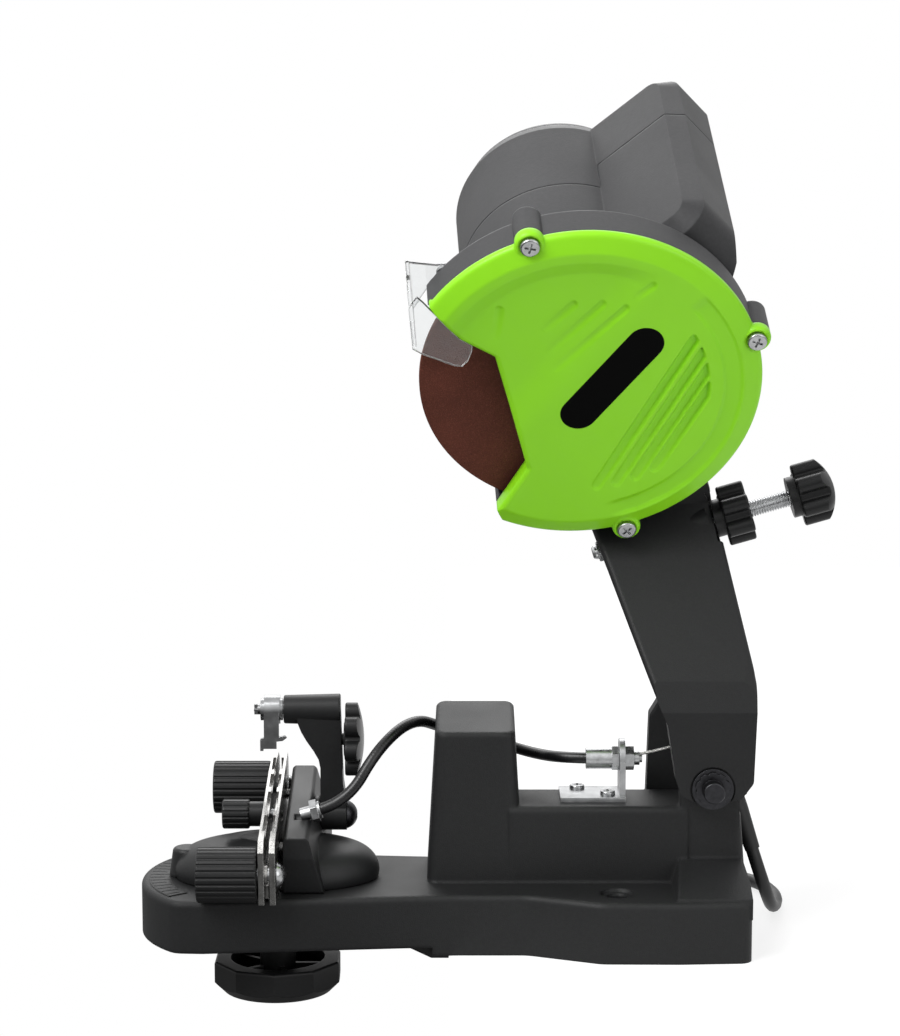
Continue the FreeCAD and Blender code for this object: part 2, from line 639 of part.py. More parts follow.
# ---- pawl ---------------------------------------------------------------
def pawl_bracket():
    """Round barrel over a curved web that narrows to the pivot boss."""
    pts = [(-150.6, 99.5), (-150.6, 104.9), (-130.2, 104.9), (-129.0, 70), (-127.6, 60), (-127.6, 53.4),
           (-139.8, 53.4), (-139.8, 77.5), (-140.6, 81.5), (-143.0, 85.8), (-146.2, 90.4), (-148.8, 94.9)]
    web = xz_prism(pts, PAWL_Y - 6.2, PAWL_Y + 6.2)
    web = soften(web, 1.2, lambda e: abs(e.BoundBox.YLength - 12.4) < 0.1 and e.CenterOfMass.z < 95)
    barrel = Part.makeCone(6.8, 7.5, 27.1, V(-157.3, PAWL_Y, 104.9), X)
    barrel = soften(barrel, 0.8, lambda e: e.Length > 30)
    low = rod(7.5, V(-139.8, PAWL_Y, 53.4), X, 12.4)
    body = fuse([web, barrel, low])
    cuts = [rod(2.5, V(-160, PAWL_Y, 104.9), X, 26), rod(3.1, V(-145, PAWL_Y, 53.4), X, 30),
            rod(2.9, V(-138, PAWL_Y, 90.3), X, 12)]
    return body.cut(cuts)


def bracket_screw():
    """Pivot screw of the pawl arm with its button head."""
    p = V(-127.2, PAWL_Y, 53.4)
    head = Part.makeSphere(7.0, V(-129.2, PAWL_Y, 53.4)).common(box(-127.2, -110, -50, 80, 0, 99))
    head = head.cut(hexagon(3.4, V(-124.4, PAWL_Y, 53.4), X, 6))
    thin = rod(3.05, V(-140.1, PAWL_Y, 53.4), X, 13.2)
    tail = rod(2.05, V(-149.5, PAWL_Y, 53.4), X, 10)
    return fuse([head, thin, tail])


def star_knob():
    star = lobed_knob(17.8, V(-127.9, PAWL_Y, 90.3), X, 8.9, 7)
    star = domed(star, V(-119.0, PAWL_Y, 90.3), X, 17.8, 3.2)
    hub = rod(8.0, V(-128.6, PAWL_Y, 90.3), X, 2.0)
    stem = rod(2.85, V(-137.5, PAWL_Y, 90.3), X, 10)
    return fuse([star, hub, stem])


def pawl_pin():
    """Fixed pin with a crossed end, carrying the pawl."""
    pin = rod(2.5, V(-171.5, PAWL_Y, 104.9), X, 35.5)
    cross = [box(-172, -169.8, PAWL_Y - 3, PAWL_Y - 0.5, 100, 104.4),
             box(-172, -169.8, PAWL_Y + 0.5, PAWL_Y + 3, 100, 104.4),
             box(-172, -169.8, PAWL_Y - 3, PAWL_Y - 0.5, 105.4, 109),
             box(-172, -169.8, PAWL_Y + 0.5, PAWL_Y + 3, 105.4, 109)]
    return pin.cut(cross)


def pawl_bushing():
    return ring(5.3, 2.55, V(-168.3, PAWL_Y, 104.9), X, 10.5)


def pawl():
    """Folded steel finger that stops the cutter tooth."""
    finger = [(-166.6, 103.5), (-166.6, 92.5), (-168.4, 91.5), (-168.4, 87.0), (-160.6, 87.0), (-160.6, 90.5),
              (-157.6, 90.9), (-155.6, 92.4), (-156.6, 93.4), (-159.4, 92.8), (-159.4, 103.5)]
    side = xz_prism(finger, PAWL_Y - 6.9, PAWL_Y - 5.4)
    flap = box(-168.4, -166.9, PAWL_Y - 6.9, PAWL_Y - 1.0, 86.0, 91.0)
    ears = ring(6.9, 5.35, V(-166.6, PAWL_Y, 104.9), X, 7.6)
    ears = ears.common(box(-170, -150, PAWL_Y - 8, PAWL_Y, 95, 112))
    lower = box(-166.6, -159.4, PAWL_Y - 6.9, PAWL_Y - 5.4, 91.5, 104.9)
    return fuse([side, lower, flap, ears])


# ---- arm ----------------------------------------------------------------
def head_point(x, n, w):
    return HEAD.multVec(V(x, n, w))


def arm():
    low = [(20.2, 113), (22.9, 107), (27.1, 81.0), (29.4, 73.7), (39.6, 68.6), (57.6, 72.2), (63.1, 79.6), (64.3, 113)]
    block = xz_prism(low, -27, 50)
    block = soften(block, 4.0, lambda e: abs(e.BoundBox.YLength - 77) < 0.1 and e.CenterOfMass.z < 100)
    s1 = quad(20.2, 64.3, -27.0, 50.0, 113, 113)
    s2 = quad(14.6, 64.4, -22.5, 50.8, 127, 127)
    s3 = [V(-14.4, 20.7, 202.5), V(47.4, 22.7, 204.5), V(46.4, 60.0, 210), V(-17.0, 60.0, 208)]
    p = [head_point(-6, 10.0, -42), head_point(50, 10.0, -42), head_point(50, 50, -42), head_point(-6, 50, -42)]
    neck = hull(s1 + s2)
    beam = hull(s2 + s3)
    top = hull(s3 + p)
    body = fuse([block, neck, beam, top])
    body = soften(body, 2.5, lambda e: e.Length > 60 and e.CenterOfMass.z > 120)
    cuts = []
    cuts.append(rod(49.0, V(HINGE_X, -14, HINGE_Z), Y, 56))
    hollow_a = loft(quad(-70, 59.3, -14, 42, 105, 105), quad(-70, 59.3, -14, 42, 128, 128))
    hollow_b = hull(quad(-70, 59.3, -14, 42, 127.5, 127.5) + quad(-70, 43.8, 20.9, 52.0, 196, 196))
    cuts.append(hollow_a)
    cuts.append(hollow_b)
    motor = rod(MOTOR_R + 0.1, V(0, -20, 0), Y, 200)
    motor.Placement = HEAD
    cuts.append(motor)
    lobe = rod(7.1, V(SCREW_AT[2][0], -20, SCREW_AT[2][1]), Y, 20 + GUARD_BACK + 0.3)
    lobe.Placement = HEAD
    cuts.append(lobe)
    cuts.append(rod(10.4, V(HINGE_X, -29, HINGE_Z), Y, 3.5))
    cuts.append(rod(PIVOT_R + RUN, V(HINGE_X, -40, HINGE_Z), Y, 120))
    body = body.cut(cuts)
    boss = rod(8.0, ROD_TIP + ROD_DIR * 39.0, ROD_DIR, 16.0)
    body = fuse([body, boss])
    lug = rod(2.8, V(40.0, -16, 94.5), Y, 20.9)
    body = fuse([body, lug])
    return body.cut([rod(ROD_R + RUN, ROD_TIP - ROD_DIR * 4, ROD_DIR, 90),
                     rod(15.0, ROD_TIP + ROD_DIR * 56.5, ROD_DIR, 40)])


# ---- head, in the spindle's own frame: Y along the spindle --------------
CUT_LINE = [(-63.8, 50.0), (-52.1, 32.4), (-37.4, 21.5), (-34.8, 6.7), (-30.8, -16.0), (-26.8, -40.4),
            (-42.1, -63.8), (-39.2, -73.3)]

COVER_GROOVES = [((-1.0, 46.7), (-14.4, 34.9)), ((11.5, 45.7), (-12.5, 23.4)), ((21.6, 42.9), (-10.6, 13.6)),
                 ((-33.9, 47.4), (-36.5, 33.4)), ((27.0, 48.6), (34.0, 53.8))]
COVER_SLOTS = [((46.0, 14.6), (4.6, -53.0)), ((48.8, 5.4), (13.6, -52.0)), ((49.6, -5.6), (22.4, -49.6)),
               ((48.0, -19.4), (31.6, -45.8))]


def mouth(grow, n0, n1):
    """Open side of the guard, where the wheel shows."""
    pts = [(-130, 50.0)] + CUT_LINE + [(-37.0, -130), (-130, -130)]
    wire = Part.makePolygon([V(a, n0, b) for a, b in pts] + [V(pts[0][0], n0, pts[0][1])])
    face = Part.Face(wire)
    if grow:
        face = face.makeOffset2D(grow, 2)
    return face.extrude(V(0, n1 - n0, 0))


def wheel_cover():
    n0 = GUARD_FRONT
    disc = rod(GUARD_R, V(0, n0, 0), Y, 6.2)
    disc = soften(disc, 4.6, lambda e: e.Length > 100 and abs(e.CenterOfMass.y - n0) < 0.1)
    lobes = []
    for a, b in SCREW_AT:
        lobe = rod(6.6, V(a, n0, b), Y, 6.2)
        lobe = soften(lobe, 1.2, lambda e: e.Length > 20 and abs(e.CenterOfMass.y - n0) < 0.1)
        lobes.append(lobe)
    outer = fuse([disc] + lobes)
    core = rod(GUARD_R - 3.0, V(0, n0 + 2.8, 0), Y, 10)
    shell = outer.cut(core)
    lip = mouth(2.8, n0 + 1.0, n0 + 8.6).cut(mouth(0, n0 - 1, n0 + 12))
    lip = lip.common(rod(GUARD_R - 0.8, V(0, n0 + 0.5, 0), Y, 9.0))
    lip = lip.cut(ring(GUARD_R + 1, GUARD_R - 3.4, V(0, n0 + 6.2, 0), Y, 9.0))
    stems = []
    for a, b in SCREW_AT:
        stems.append(rod(4.6, V(a, n0 + 1.2, b), Y, 5.0))
    body = fuse([shell.cut(mouth(0, n0 - 5, n0 + 20)), lip])
    body = fuse([body] + stems)
    # raised panel edge, grooves and ribs on the face
    cuts = []
    step = ring(70.0, 66.6, V(0, n0 - 1, 0), Y, 1.7)
    sector = [(0, 0), (-62.0, 57.0), (-20.0, 95.0), (40.0, 62.0)]
    wire = Part.makePolygon([V(a, n0 - 3, b) for a, b in sector] + [V(0, n0 - 3, 0)])
    cuts.append(step.common(Part.Face(wire).extrude(V(0, 10, 0))).cut(mouth(4.0, n0 - 5, n0 + 5)))
    for (ax, az), (bx, bz) in COVER_GROOVES:
        d = V(bx - ax, 0, bz - az)
        groove = rod(1.1, V(ax, n0 - 0.45, az), d, d.Length)
        ends = [Part.makeSphere(1.1, V(ax, n0 - 0.45, az)), Part.makeSphere(1.1, V(bx, n0 - 0.45, bz))]
        cuts.append(fuse([groove] + ends))
    pockets = []
    for (ax, az), (bx, bz) in COVER_SLOTS:
        d = V(bx - ax, 0, bz - az)
        side = d.cross(Y).normalize() * 2.3
        a, b = V(ax, n0 - 1, az), V(bx, n0 - 1, bz)
        c = [a + side, b + side, b - side, a - side]
        slot = Part.Face(Part.makePolygon(c + [c[0]])).extrude(V(0, 2.2, 0))
        ends = [rod(2.3, a, Y, 2.2), rod(2.3, b, Y, 2.2)]
        pockets.append(fuse([slot] + ends))
    cuts = cuts + pockets
    edge = ring(61.2, 59.2, V(0, n0 - 1, 0), Y, 1.7)
    sector = [(8, 0), (78.0, 36.0), (90.0, -40.0), (50.0, -84.0)]
    wire = Part.makePolygon([V(a, n0 - 3, b) for a, b in sector] + [V(8, n0 - 3, 0)])
    cuts.append(edge.common(Part.Face(wire).extrude(V(0, 10, 0))))
    cuts.append(capsule(8.6, n0 - 1.0, 1.8))
    for a, b in SCREW_AT:
        cuts.append(rod(4.7, V(a, n0 - 1, b), Y, 2.8))
        cuts.append(rod(2.15, V(a, n0 - 2, b), Y, 20))
    return body.cut(cuts)


def capsule(r, n0, depth):
    a = V(-1.7, n0, -11.2)
    b = V(29.5, n0, 23.7)
    d = b - a
    side = d.cross(Y).normalize() * r
    c = [a + side, b + side, b - side, a - side]
    slab = Part.Face(Part.makePolygon(c + [c[0]])).extrude(V(0, depth, 0))
    return fuse([slab, rod(r, a, Y, depth), rod(r, b, Y, depth)])


def label_plate():
    return capsule(8.45, GUARD_FRONT - 0.1, 0.85)


def cover_screws():
    out = []
    for a, b in SCREW_AT:
        n0 = GUARD_FRONT
        head = rod(4.4, V(a, n0 - 0.7, b), Y, 2.45)
        head = soften(head, 0.9, lambda e: abs(e.CenterOfMass.y - (n0 - 0.7)) < 0.1)
        cross = fuse([box(a - 2.5, a + 2.5, n0 - 2, n0 + 0.5, b - 0.5, b + 0.5),
                      box(a - 0.5, a + 0.5, n0 - 2, n0 + 0.5, b - 2.5, b + 2.5)])
        cross.rotate(V(a, 0, b), Y, 35.0 + a)
        shank = rod(2.0, V(a, n0 + 1.7, b), Y, 16.5)
        out.append(fuse([head, shank]).cut(cross))
    return Part.makeCompound(out)


def disc_housing():
    n0 = GUARD_FRONT + 6.25
    ringed = ring(GUARD_R, GUARD_R - 3.2, V(0, n0, 0), Y, GUARD_BACK - n0)
    back = rod(GUARD_R - 1, V(0, GUARD_BACK - 2.6, 0), Y, 2.6)
    body = fuse([ringed, back])
    body = soften(body, 1.6, lambda e: e.Length > 300 and abs(e.CenterOfMass.y - GUARD_BACK) < 0.1)
    bosses = []
    for a, b in SCREW_AT:
        bosses.append(rod(6.6, V(a, n0, b), Y, GUARD_BACK - n0))
    body = fuse([body] + bosses)
    lip = mouth(2.8, n0 + 3.0, GUARD_BACK).cut(mouth(0, -30, 30))
    lip = lip.common(rod(GUARD_R - 0.5, V(0, -20, 0), Y, 60)).cut(rod(WHEEL_R + 1.5, V(0, -20, 0), Y, 26.95))
    body = fuse([body.cut(mouth(0, -30, 30)), lip])
    cuts = [rod(24.0, V(0, 0, 0), Y, 30)]
    for a, b in SCREW_AT:
        cuts.append(rod(2.05, V(a, n0 - 1, b), Y, 13.0))
    for k in range(4):
        t = math.radians(45 + 90 * k)
        cuts.append(rod(2.2, V(38 * math.cos(t), 0, 38 * math.sin(t)), Y, 30))
    for a, b in SHIELD_SCREWS:
        cuts.append(rod(1.7, V(a, 6.0, b), Y, 10))
    return body.cut(cuts)


def clear_shield():
    """Bent clear plate: a flap before the wheel's upper edge, a side, and a flap screwed to the
    guard's back."""
    t = 1.8
    flap = [(-73.6, 28.6), (-69.6, 25.4), (-55.6, 17.6), (-52.2, 17.0), (-49.6, 19.4), (-47.4, 24.6), (-47.0, 27.8),
            (-52.5, 32.0), (-64.7, 49.2), (-67.2, 52.8), (-69.4, 55.4), (-73.6, 50.0)]
    front = flat_plate(flap, -9.8, t)
    edge = [(-9.8, 28.6), (-9.8, 50.0), (-4.0, 55.0), (9.9, 61.6), (11.7, 61.6), (11.7, 35.0)]
    side = yz_prism(edge, -73.6, -73.6 + t)
    tail = [(-73.6, 61.6), (-60.0, 58.6), (-44.0, 58.0), (-44.0, 50.4), (-62.6, 50.4), (-65.0, 46.8), (-73.6, 35.0)]
    rear = flat_plate(tail, 9.9, t)
    body = fuse([front, side, rear])
    return body.cut([rod(1.7, V(a, 5, b), Y, 12) for a, b in SHIELD_SCREWS])


def flat_plate(pts, n0, t):
    """Plate across the spindle with that outline."""
    wire = Part.makePolygon([V(a, n0, b) for a, b in pts] + [V(pts[0][0], n0, pts[0][1])])
    return Part.Face(wire).extrude(V(0, t, 0))


def shield_screws():
    out = []
    for a, b in SHIELD_SCREWS:
        head = rod(3.2, V(a, 11.75, b), Y, 1.8)
        out.append(fuse([head, rod(1.65, V(a, 7.0, b), Y, 5.0)]))
    return Part.makeCompound(out)


CASE = FreeCAD.Placement(V(14.0, 0, 42.0), FreeCAD.Rotation(Y, -math.degrees(math.atan2(0.6, 0.8))))
CASE_BACK = 145.0
CASE_REACH = 54.0        # from the barrel's edge out to the switch case's outer face
BARREL_SPLIT = 84.0
CASE_SPLIT = 104.0
GROOVE = 0.7             # shadow line where the two motor shells meet


def switch_case(inset):
    """Slab beside the barrel with round outer corners and a broad bevel round its near face."""
    n0, n1, reach = 15.0 + inset, CASE_BACK - inset, CASE_REACH - inset
    slab = xy_prism([(-6, n0), (reach, n0), (reach, n1), (-6, n1)], -60, -inset)
    slab = soften(slab, 14.0 - inset, lambda e: upright(e) and e.CenterOfMass.x > 20)
    edges = [e for e in slab.Edges if abs(e.BoundBox.ZMin + inset) < 0.01 and e.BoundBox.ZLength < 0.01
             and e.BoundBox.XMax > 0]
    slab = slab.makeChamfer(7.0, edges)
    width = 51.0 - inset
    section = [(-6, 0), (60, 0), (60, -24), (reach, -29), (reach - 6, -36.5 + inset), (28, -width + 1.0),
               (4, -width), (-6, -40)]
    slab = slab.common(xz_prism(section, 0, 160))
    slab.Placement = CASE
    return slab


def motor_outer():
    tube = rod(MOTOR_R, V(0, 9.8, 0), Y, 126.2)
    cap = Part.makeCone(MOTOR_R, 45.3, MOTOR_END - 136.0, V(0, 136, 0), Y)
    cap = soften(cap, 2.0, lambda e: e.Length > 200 and abs(e.CenterOfMass.y - MOTOR_END) < 0.1)
    return fuse([tube, cap, switch_case(0.0)])


def motor_inner():
    tube = rod(MOTOR_R - 2.6, V(0, 14.0, 0), Y, 129.5)
    case = switch_case(2.6).cut(rod(MOTOR_R + 0.2, V(0, 0, 0), Y, 160))
    return tube, case


def rear_zone(step):
    """Everything behind the stepped parting: barrel and switch case split at two places."""
    half = box(-120, 120, BARREL_SPLIT + step, 200, -120, 120)
    early = box(-20, 120, BARREL_SPLIT - 1, CASE_SPLIT + step, -60, 120)
    return half.cut(early.cut(rod(MOTOR_R + 0.05, V(0, 0, 0), Y, 200)))


def parting_groove():
    """Thin slots round the barrel and round the switch case at the parting."""
    barrel = ring(MOTOR_R + 1.0, MOTOR_R - GROOVE, V(0, BARREL_SPLIT, 0), Y, GROOVE)
    skin = switch_case(0.0).cut(switch_case(GROOVE)).cut(rod(MOTOR_R - 0.1, V(0, 0, 0), Y, 200))
    slot = box(-120, 120, CASE_SPLIT, CASE_SPLIT + GROOVE, -120, 120)
    return [barrel.cut(switch_case(0.0)), skin.common(slot)]


def motor_shells():
    outer = motor_outer()
    inner_a, inner_b = motor_inner()
    shell = outer.cut([inner_a, inner_b])
    shell = shell.cut(parting_groove())
    front = shell.cut(rear_zone(0.0))
    rear = shell.common(rear_zone(0.05))
    front_cuts = [rod(12.55, V(0, 5, 0), Y, 8.0), rod(8.0, V(0, 5, 0), Y, 15)]
    for k in range(4):
        t = math.radians(45 + 90 * k)
        front_cuts.append(rod(2.2, V(38 * math.cos(t), 5, 38 * math.sin(t)), Y, 12))
    front = front.cut(front_cuts)
    seat = rod(14.5, V(0, 134.0, 0), Y, 12.0)
    rear = fuse([rear, seat])
    rear = rear.cut([rod(11.05, V(0, 133.0, 0), Y, 7.5), rod(7.0, V(0, 133.0, 0), Y, 11.0)])
    rear = rear.cut(switch_box(7.0, 10.0, 138, 150))
    ports = []
    for k in range(7):
        ports.append(box(-27 + 9 * k - 1.6, -27 + 9 * k + 1.6, 141, 151, -34, -20))
    rear = rear.cut(ports)
    return front, rear


def shell_screws():
    """Four screws from the guard plate into the motor's front shell."""
    out = []
    for k in range(4):
        t = math.radians(45 + 90 * k)
        c = V(38 * math.cos(t), 5.0, 38 * math.sin(t))
        head = rod(3.6, c, Y, 1.8)
        out.append(fuse([head, rod(2.1, c, Y, 8.8)]))
    return Part.makeCompound(out)


def switch_box(dx, dw, n0, n1):
    return box(SWITCH_X - dx, SWITCH_X + dx, n0, n1, SWITCH_W - dw, SWITCH_W + dw)


def switch_frame():
    well = switch_box(5.4, 8.3, 131, 150)
    frame = switch_box(8.4, 11.4, CASE_BACK + 0.1, CASE_BACK + 1.4).cut(well)
    tub = switch_box(6.8, 9.8, 128.0, CASE_BACK + 0.3).cut(well)
    pin_hole = rod(1.3, V(SWITCH_X - 6.3, 142, SWITCH_W), X, 12.6)
    return fuse([frame, tub]).cut(pin_hole)


def switch_rocker():
    """Two-way rocker on its cross pin."""
    pts = [(139.5, -6.6), (146.2, -6.6), (145.4, 0.0), (148.4, 6.6), (139.5, 6.6), (137.5, 0.0)]
    body = yz_prism([(a, SWITCH_W + b) for a, b in pts], SWITCH_X - 5.0, SWITCH_X + 5.0)
    return fuse([body, rod(1.25, V(SWITCH_X - 6.0, 142, SWITCH_W), X, 12.0)])


def stator():
    pack = ring(MOTOR_R - 2.9, 31.0, V(0, 44, 0), Y, 46)
    slots = []
    for k in range(12):
        s = box(30.0, 40.0, 40, 95, -2.4, 2.4)
        s.rotate(V(0, 0, 0), Y, 30 * k)
        slots.append(s)
    return pack.cut(slots)


def rotor():
    core = ring(30.2, 5.0, V(0, 46, 0), Y, 42)
    slots = []
    for k in range(16):
        s = box(26.0, 32.0, 40, 95, -1.2, 1.2)
        s.rotate(V(0, 0, 0), Y, 22.5 * k)
        slots.append(s)
    drum = ring(13.0, 5.0, V(0, 88, 0), Y, 14)
    return fuse([core.cut(slots), drum])


def motor_shaft():
    s = rod(5.0, V(0, -10.4, 0), Y, 154.4)
    collar = rod(7.5, V(0, 4.3, 0), Y, 4.0)
    s = fuse([s, collar])
    return s


def bearings():
    out = [ring(12.5, 5.05, V(0, 9.9, 0), Y, 3.0), ring(11.0, 5.05, V(0, 133.4, 0), Y, 7.0)]
    grooves = [ring(9.6, 7.6, V(0, 9.5, 0), Y, 0.9), ring(9.4, 7.4, V(0, 133.0, 0), Y, 0.9)]
    return Part.makeCompound([out[0].cut(grooves[0]), out[1].cut(grooves[1])])


def fan():
    hub = ring(12.0, 5.0, V(0, 112, 0), Y, 12)
    disc = ring(40.0, 5.0, V(0, 122, 0), Y, 2.0)
    blades = []
    for k in range(9):
        b = box(11.0, 39.5, 113, 122.5, -0.9, 0.9)
        b.rotate(V(11, 0, 0), Y, 25)
        b.rotate(V(0, 0, 0), Y, 40 * k)
        blades.append(b)
    return fuse([hub, disc] + blades)


def wheel_flanges():
    inner = fuse([ring(17.0, 5.0, V(0, 1.65, 0), Y, 2.6), ring(11.0, 5.0, V(0, -1.5, 0), Y, 3.4)])
    outer = ring(17.0, 5.0, V(0, -4.2, 0), Y, 2.55)
    return Part.makeCompound([inner, outer])


def arbor_nut():
    nut = hexagon(15.0, V(0, -9.6, 0), Y, 5.3)
    return nut.cut(rod(5.0, V(0, -12, 0), Y, 14))


def grinding_wheel():
    disc = ring(WHEEL_R, WHEEL_BORE_R, V(0, -WHEEL_T / 2, 0), Y, WHEEL_T)
    return soften(disc, 0.6, lambda e: e.Length > 400)


# ---- depth stop ---------------------------------------------------------
def depth_screw():
    length = 96.0
    s = rod(ROD_R, ROD_TIP, ROD_DIR, length)
    s = cut_threads(s, ROD_TIP, ROD_DIR, ROD_R, 6.0, 94.0, 1.25)
    tip = Part.makeCone(3.0, ROD_R, 2.0, ROD_TIP - ROD_DIR * 2.0, ROD_DIR)
    cap = hexagon(9.0, ROD_TIP + ROD_DIR * 0.5, ROD_DIR, 4.5)
    return fuse([s, tip, cap])


def end_knob():
    p = ROD_TIP + ROD_DIR * 99.2
    length = 17.7
    star = domed(lobed_knob(15.0, p, ROD_DIR, length, 6), p + ROD_DIR * length, ROD_DIR, 15.0, 6.0)
    hub = rod(9.8, p - ROD_DIR * 4.0, ROD_DIR, 5.0)
    return fuse([star, hub]).cut(rod(ROD_R, p - ROD_DIR * 8, ROD_DIR, 4.85))


def lock_knob():
    p = ROD_TIP + ROD_DIR * 57.8
    star = lobed_knob(14.5, p + ROD_DIR * 4.6, ROD_DIR, 13.0, 6)
    hub = rod(9.0, p, ROD_DIR, 6.0)
    return fuse([star, hub]).cut(rod(ROD_R + RUN, p - ROD_DIR * 8, ROD_DIR, 40))


# ---- mains lead ---------------------------------------------------------
def power_cord():
    return tube_along(CORD_ROUTE, CORD_R)


def cord_coil():
    """The rest of the lead, wound twice across and four turns high."""
    turns = []
    for k in range(4):
        for r in (COIL_R, COIL_R - 6.0):
            turns.append(Part.makeTorus(r, CORD_R, COIL_AT + V(0, 0, k * 5.6), Z))
    tail = rod(CORD_R, COIL_AT + V(0, COIL_R, 5.6), X, 31.0)
    bridge = rod(2.0, COIL_AT + V(0, -COIL_R, 0), Z, 16.8)
    return fuse(turns + [tail, bridge])


def mains_plug():
    """Flat two-pin plug lying beside the coil."""
    z = COIL_AT.z + 5.6
    y = COIL_AT.y + COIL_R
    body = hull([V(8, y - 7, z - 6), V(8, y + 7, z - 6), V(8, y + 7, z + 6), V(8, y - 7, z + 6),
                 V(42, y - 12, z - 7.5), V(42, y + 12, z - 7.5), V(42, y + 12, z + 7.5), V(42, y - 12, z + 7.5)])
    body = soften(body, 2.0, lambda e: e.Length > 30)
    tail = rod(4.8, V(-6.9, y, z), X, 16)
    pins = [rod(2.4, V(41, y + d, z), X, 20) for d in (-9.5, 9.5)]
    return fuse([body, tail] + pins)


# ---- write every piece ----------------------------------------------------
for name, make in (
        ("base_casting", base_casting), ("cable_bracket", cable_bracket), ("bracket_screws", bracket_screws),
        ("rear_ferrule", rear_ferrule), ("cable_sheath", cable_sheath), ("inner_wire", inner_wire),
        ("pivot_bolt", pivot_bolt), ("pivot_rings", pivot_rings), ("return_spring", return_spring),
        ("cord_gland", cord_gland), ("power_cord", power_cord), ("cord_coil", cord_coil),
        ("mains_plug", mains_plug), ("turntable", turntable), ("turntable_stud", turntable_stud),
        ("fixed_rail", fixed_rail), ("rail_spacers", rail_spacers), ("rail_bolts", rail_bolts),
        ("jaw_springs", jaw_springs), ("front_ferrule", front_ferrule), ("movable_rail", movable_rail),
        ("jaw_pins", jaw_pins), ("small_knob", small_knob), ("adjuster_screw", adjuster_screw),
        ("pawl_bracket", pawl_bracket), ("bracket_screw", bracket_screw), ("star_knob", star_knob),
        ("pawl_pin", pawl_pin), ("pawl_bushing", pawl_bushing), ("pawl", pawl),
        ("clamp_knob", clamp_knob), ("clamp_washer", clamp_washer), ("arm", arm),
        ("wire_nipple", wire_nipple), ("depth_screw", depth_screw), ("end_knob", end_knob),
        ("lock_knob", lock_knob)):
    export(name, make())

export("knob_near", end_knob_shape(-50.0))
export("knob_far", end_knob_shape(50.0))

shell_front, shell_rear = motor_shells()
export("motor_shell_front", shell_front, HEAD)
export("motor_shell_rear", shell_rear, HEAD)
for name, make in (
        ("disc_housing", disc_housing), ("wheel_cover", wheel_cover), ("cover_screws", cover_screws),
        ("label_plate", label_plate), ("clear_shield", clear_shield), ("shield_screws", shield_screws),
        ("shell_screws", shell_screws), ("switch_frame", switch_frame), ("switch_rocker", switch_rocker),
        ("stator", stator), ("rotor", rotor), ("motor_shaft", motor_shaft), ("bearings", bearings),
        ("fan", fan), ("wheel_flanges", wheel_flanges), ("arbor_nut", arbor_nut),
        ("grinding_wheel", grinding_wheel)):
    export(name, make(), HEAD)
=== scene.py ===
"""Bench chain sharpener: finishes, cables, spring, thread, guard cover and stage.

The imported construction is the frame. Everything is in metres in the row frame:
X towards the hinge end, Y away from the wheel guard, Z up, bench top at z = 0.
"""
import json
import math

import bmesh
import bpy
import numpy as np
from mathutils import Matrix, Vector


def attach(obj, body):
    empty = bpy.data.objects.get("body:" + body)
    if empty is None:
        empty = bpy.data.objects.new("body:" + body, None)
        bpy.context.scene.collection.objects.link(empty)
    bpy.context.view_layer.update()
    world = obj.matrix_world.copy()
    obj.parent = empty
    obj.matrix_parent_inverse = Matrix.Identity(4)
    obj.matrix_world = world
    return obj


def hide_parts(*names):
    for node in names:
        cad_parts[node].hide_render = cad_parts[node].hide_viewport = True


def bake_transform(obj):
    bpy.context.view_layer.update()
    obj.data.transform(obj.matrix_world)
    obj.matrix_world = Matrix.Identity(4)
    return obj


bl_info = {
    "name": "Bench chain sharpener",
    "version": (1, 0, 0),
    "blender": (4, 5, 0),
    "location": "View3D > Sidebar > Sharpener",
    "description": "Finishes, cables, spring, thread and stage for a bench chain sharpener",
    "category": "Object",
}

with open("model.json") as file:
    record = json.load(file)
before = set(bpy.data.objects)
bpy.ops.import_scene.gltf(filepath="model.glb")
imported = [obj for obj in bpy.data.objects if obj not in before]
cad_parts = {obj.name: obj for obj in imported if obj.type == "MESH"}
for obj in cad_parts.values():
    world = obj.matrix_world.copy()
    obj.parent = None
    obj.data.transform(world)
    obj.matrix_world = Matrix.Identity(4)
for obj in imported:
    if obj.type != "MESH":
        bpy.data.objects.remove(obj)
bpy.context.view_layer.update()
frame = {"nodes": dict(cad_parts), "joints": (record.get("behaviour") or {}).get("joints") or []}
NODES = frame["nodes"]


# ---- places that the construction shares
def joint(name):
    """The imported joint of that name."""
    return next(j for j in frame["joints"] if j["name"] == name)


def joint_axis(name):
    """Unit vector along that joint."""
    axis = np.array(joint(name)["axis"], float)
    return axis / np.linalg.norm(axis)


# the hinge; the spindle's middle, the direction along it (N) and two across it (X and W)
HINGE = np.array(joint("arm_lower")["pos_m"])
HEAD_AT = np.array(joint("wheel_spin")["pos_m"])
HEAD_N = joint_axis("wheel_spin")
HEAD_X = joint_axis("switch_press")
HEAD_W = np.cross(HEAD_X, HEAD_N)
ACROSS = (0.0, 1.0, 0.0)
UP = (0.0, 0.0, 1.0)

# where the return spring's coils start and end along Y
SPRING_ENDS = (0.0026, 0.0242)

# the depth screw: its end, its direction, and the turned profile of the end as height and radius
STOP_DIR = -np.array(joint("stop_screw_travel")["axis"], float)
STOP_TIP = np.array((-0.008, 0.025, 0.1802))
STOP_LENGTH, STOP_RADIUS, STOP_HEX = 0.096, 0.004, 0.009
STOP_PROFILE = 0.001 * np.array((
    (-2.0, 0.0), (-2.0, 2.2), (-1.6, 2.9), (-0.6, 3.4), (0.5, 3.6),
    (0.5, 4.5), (0.9, 5.2), (4.6, 5.2), (5.0, 4.7), (5.0, 0.0),
))

